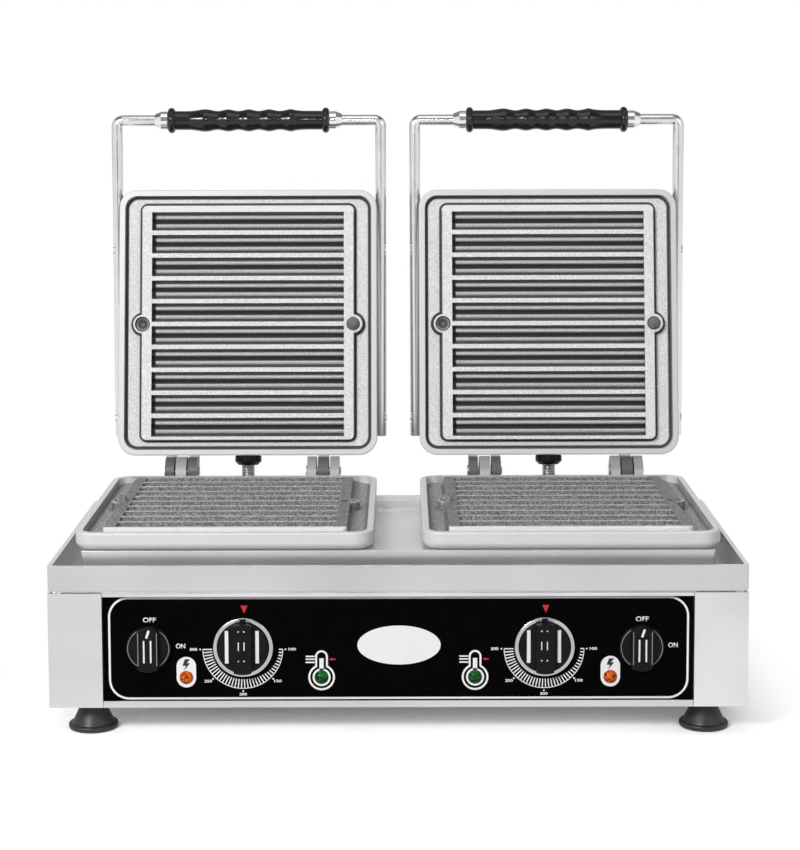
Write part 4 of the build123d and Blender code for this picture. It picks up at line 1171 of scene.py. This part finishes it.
def print_panel():
    """All the printing on the control panel and the knobs, and the painted highlights on the knobs."""
    white = [panel_border(), panel_oval()]
    red = []
    for side in SIDES:
        white += switch_words(side)
        white += heat_scale(side)
        white.append(lamp_pill(side))
        white += thermometer(side)
        red.append(red_pointer(side))
        red.append(red_arrow(side))
        finished_print([lightning_bolt(side)], "lamp_bolt_" + side, PRINT_BLACK, "base")
        finished_print(switch_marks(side), "switch_marks_" + side, PRINT_AND_HIGHLIGHT_WHITE, "switch_knob_" + side)
        finished_print(switch_edge_highlights(side), "switch_edge_highlights_" + side, HIGHLIGHT_GREY, "switch_knob_" + side)
        finished_print(thermostat_marks_and_highlights(side), "thermostat_marks_and_highlights_" + side, PRINT_AND_HIGHLIGHT_WHITE,
                       "thermostat_knob_" + side)
    finished_print(white, "panel_print_white", PRINT_AND_HIGHLIGHT_WHITE, "base")
    finished_print(red, "panel_print_red", PRINT_RED, "base")


print_panel()


def add_area_lamp(name, place, size, power):
    """A soft square studio lamp that points at the object."""
    deselect()
    bpy.ops.object.light_add(type="AREA", location=place)
    lamp = bpy.context.active_object
    lamp.name = name
    lamp.data.size = size
    lamp.data.energy = power
    direction = Vector(LAMP_AIM) - Vector(place)
    lamp.rotation_euler = direction.to_track_quat("-Z", "Y").to_euler()


def add_lamps():
    """A broad key lamp in front, softer ones above and aside, and a small one for glints."""
    add_area_lamp("key_lamp", KEY_PLACE, KEY_SIZE, KEY_POWER)
    add_area_lamp("fill_lamp", FILL_PLACE, FILL_SIZE, FILL_POWER)
    add_area_lamp("top_lamp", TOP_PLACE, TOP_SIZE, TOP_POWER)
    add_area_lamp("glint_lamp", GLINT_PLACE, GLINT_SIZE, GLINT_POWER)


def add_camera():
    """The camera at the photograph's place and angle."""
    deselect()
    bpy.ops.object.camera_add(location=CAMERA_PLACE, rotation=CAMERA_TURN)
    camera = bpy.context.active_object
    camera.data.lens = CAMERA_LENS
    camera.data.shift_y = CAMERA_SHIFT_Y
    camera.data.clip_start = CAMERA_NEAR
    camera.data.clip_end = CAMERA_FAR
    bpy.context.scene.camera = camera


def direction_ramp(tree, value, stops):
    """A brightness that changes over a value, given as places and brightnesses."""
    ramp = add_node(tree, "ShaderNodeValToRGB")
    band = ramp.color_ramp
    while len(band.elements) < len(stops):
        band.elements.new(0.5)
    for element, (place, bright) in zip(band.elements, stops):
        element.position = place
        element.color = (*grey(bright), 1.0)
    tree.links.new(value, ramp.inputs["Fac"])
    return ramp.outputs["Color"]


def walls_around(tree, direction):
    """The brightness of the surroundings from front to back."""
    aside = combined(tree, "ABSOLUTE", direction["X"])
    ahead = combined(tree, "MULTIPLY", direction["Y"], -1.0)
    turn = combined(tree, "DIVIDE", combined(tree, "ARCTAN2", aside, ahead), pi)
    return direction_ramp(tree, turn, [
        (0.0, FLAG_LIGHT),
        (FLAG_END, FLAG_END_LIGHT),
        (SIDE_WALL_START, SIDE_WALL_LIGHT),
        (SIDE_WALL_END, SIDE_WALL_LIGHT),
        (CORNER_START, CORNER_LIGHT),
        (CORNER_END, CORNER_LIGHT),
        (BACK_WALL_START, BACK_WALL_LIGHT),
    ])


def walls_upward(tree, direction):
    """The brightness of the surroundings from level to straight up."""
    return direction_ramp(tree, direction["Z"], [
        (0.0, WALL_FOOT_LIGHT),
        (WALL_TOP, WALL_TOP_LIGHT),
        (GAP_PLACE, GAP_LIGHT),
        (CEILING_START, CEILING_START_LIGHT),
        (1.0, CEILING_LIGHT),
    ])


def studio_world():
    """Soft light that falls off towards the floor, walls for bright metal and a white background."""
    world = bpy.data.worlds.new("studio")
    bpy.context.scene.world = world
    world.use_nodes = True
    tree = world.node_tree
    tree.nodes.clear()
    links = tree.links
    source = add_node(tree, "ShaderNodeTexCoord")
    direction = vector_parts(tree, source.outputs["Generated"])
    soft = add_node(tree, "ShaderNodeBackground")
    soft.inputs["Strength"].default_value = SKY_STRENGTH
    links.new(spread(tree, direction["Z"], SKY_LOW, 1.0, *SKY_RISE, "SMOOTHSTEP"), soft.inputs["Color"])
    walls = add_node(tree, "ShaderNodeBackground")
    around = walls_around(tree, direction)
    upward = walls_upward(tree, direction)
    links.new(mixed_color(tree, 1.0, around, upward, "DARKEN"), walls.inputs["Color"])
    white = add_node(tree, "ShaderNodeBackground")
    white.inputs["Color"].default_value = (*grey(1.0), 1.0)
    path = add_node(tree, "ShaderNodeLightPath").outputs
    light = soft.outputs["Background"]
    light = mixed_shader(tree, path["Is Glossy Ray"], light, walls.outputs["Background"])
    light = mixed_shader(tree, path["Is Camera Ray"], light, white.outputs["Background"])
    output = add_node(tree, "ShaderNodeOutputWorld")
    links.new(light, output.inputs["Surface"])


def floor_material():
    """A floor that is pale where it is seen, and darker where it throws light on the object."""
    material, tree, shader = new_material("floor_white")
    links = tree.links
    shader.inputs["Roughness"].default_value = FLOOR_ROUGHNESS
    shader.inputs["Specular IOR Level"].default_value = 0.0
    path = add_node(tree, "ShaderNodeLightPath").outputs
    shine = combined(tree, "MAXIMUM", path["Is Glossy Ray"], path["Is Transmission Ray"])
    seen = combined(tree, "MAXIMUM", path["Is Camera Ray"], shine)
    links.new(mixed_color(tree, seen, grey(FLOOR_PLAIN), grey(FLOOR_SEEN)), shader.inputs["Base Color"])
    echo = add_node(tree, "ShaderNodeBsdfDiffuse")
    links.new(mixed_color(tree, seen, grey(0.0), grey(FLOOR_SEEN)), echo.inputs["Color"])
    glow = add_node(tree, "ShaderNodeEmission")
    links.new(combined(tree, "MULTIPLY", seen, FLOOR_LIFT), glow.inputs["Strength"])
    near = added_shaders(tree, shader.outputs["BSDF"], echo.outputs["BSDF"])
    near = added_shaders(tree, near, glow.outputs["Emission"])
    white = add_node(tree, "ShaderNodeEmission")
    reach = box_distance(tree, object_place(tree), (0.0, 0.0), SHADOW_HALF, SHADOW_CORNER)
    beyond = combined(tree, "MULTIPLY", smooth_step(tree, reach, *SHADOW_FADE), seen)
    surface = mixed_shader(tree, beyond, near, white.outputs["Emission"])
    links.new(surface, tree.nodes["Material Output"].inputs["Surface"])
    return material


def studio_floor():
    """A plain floor that keeps the shadow near the object and is white beyond it."""
    deselect()
    bpy.ops.mesh.primitive_plane_add(size=FLOOR_SIZE, location=(0.0, FLOOR_MIDDLE_Y, -FLOOR_DROP))
    floor = named("floor")
    paint(floor, floor_material())


add_camera()
studio_world()
studio_floor()
add_lamps()


bpy.context.scene.view_settings.view_transform = "Standard"
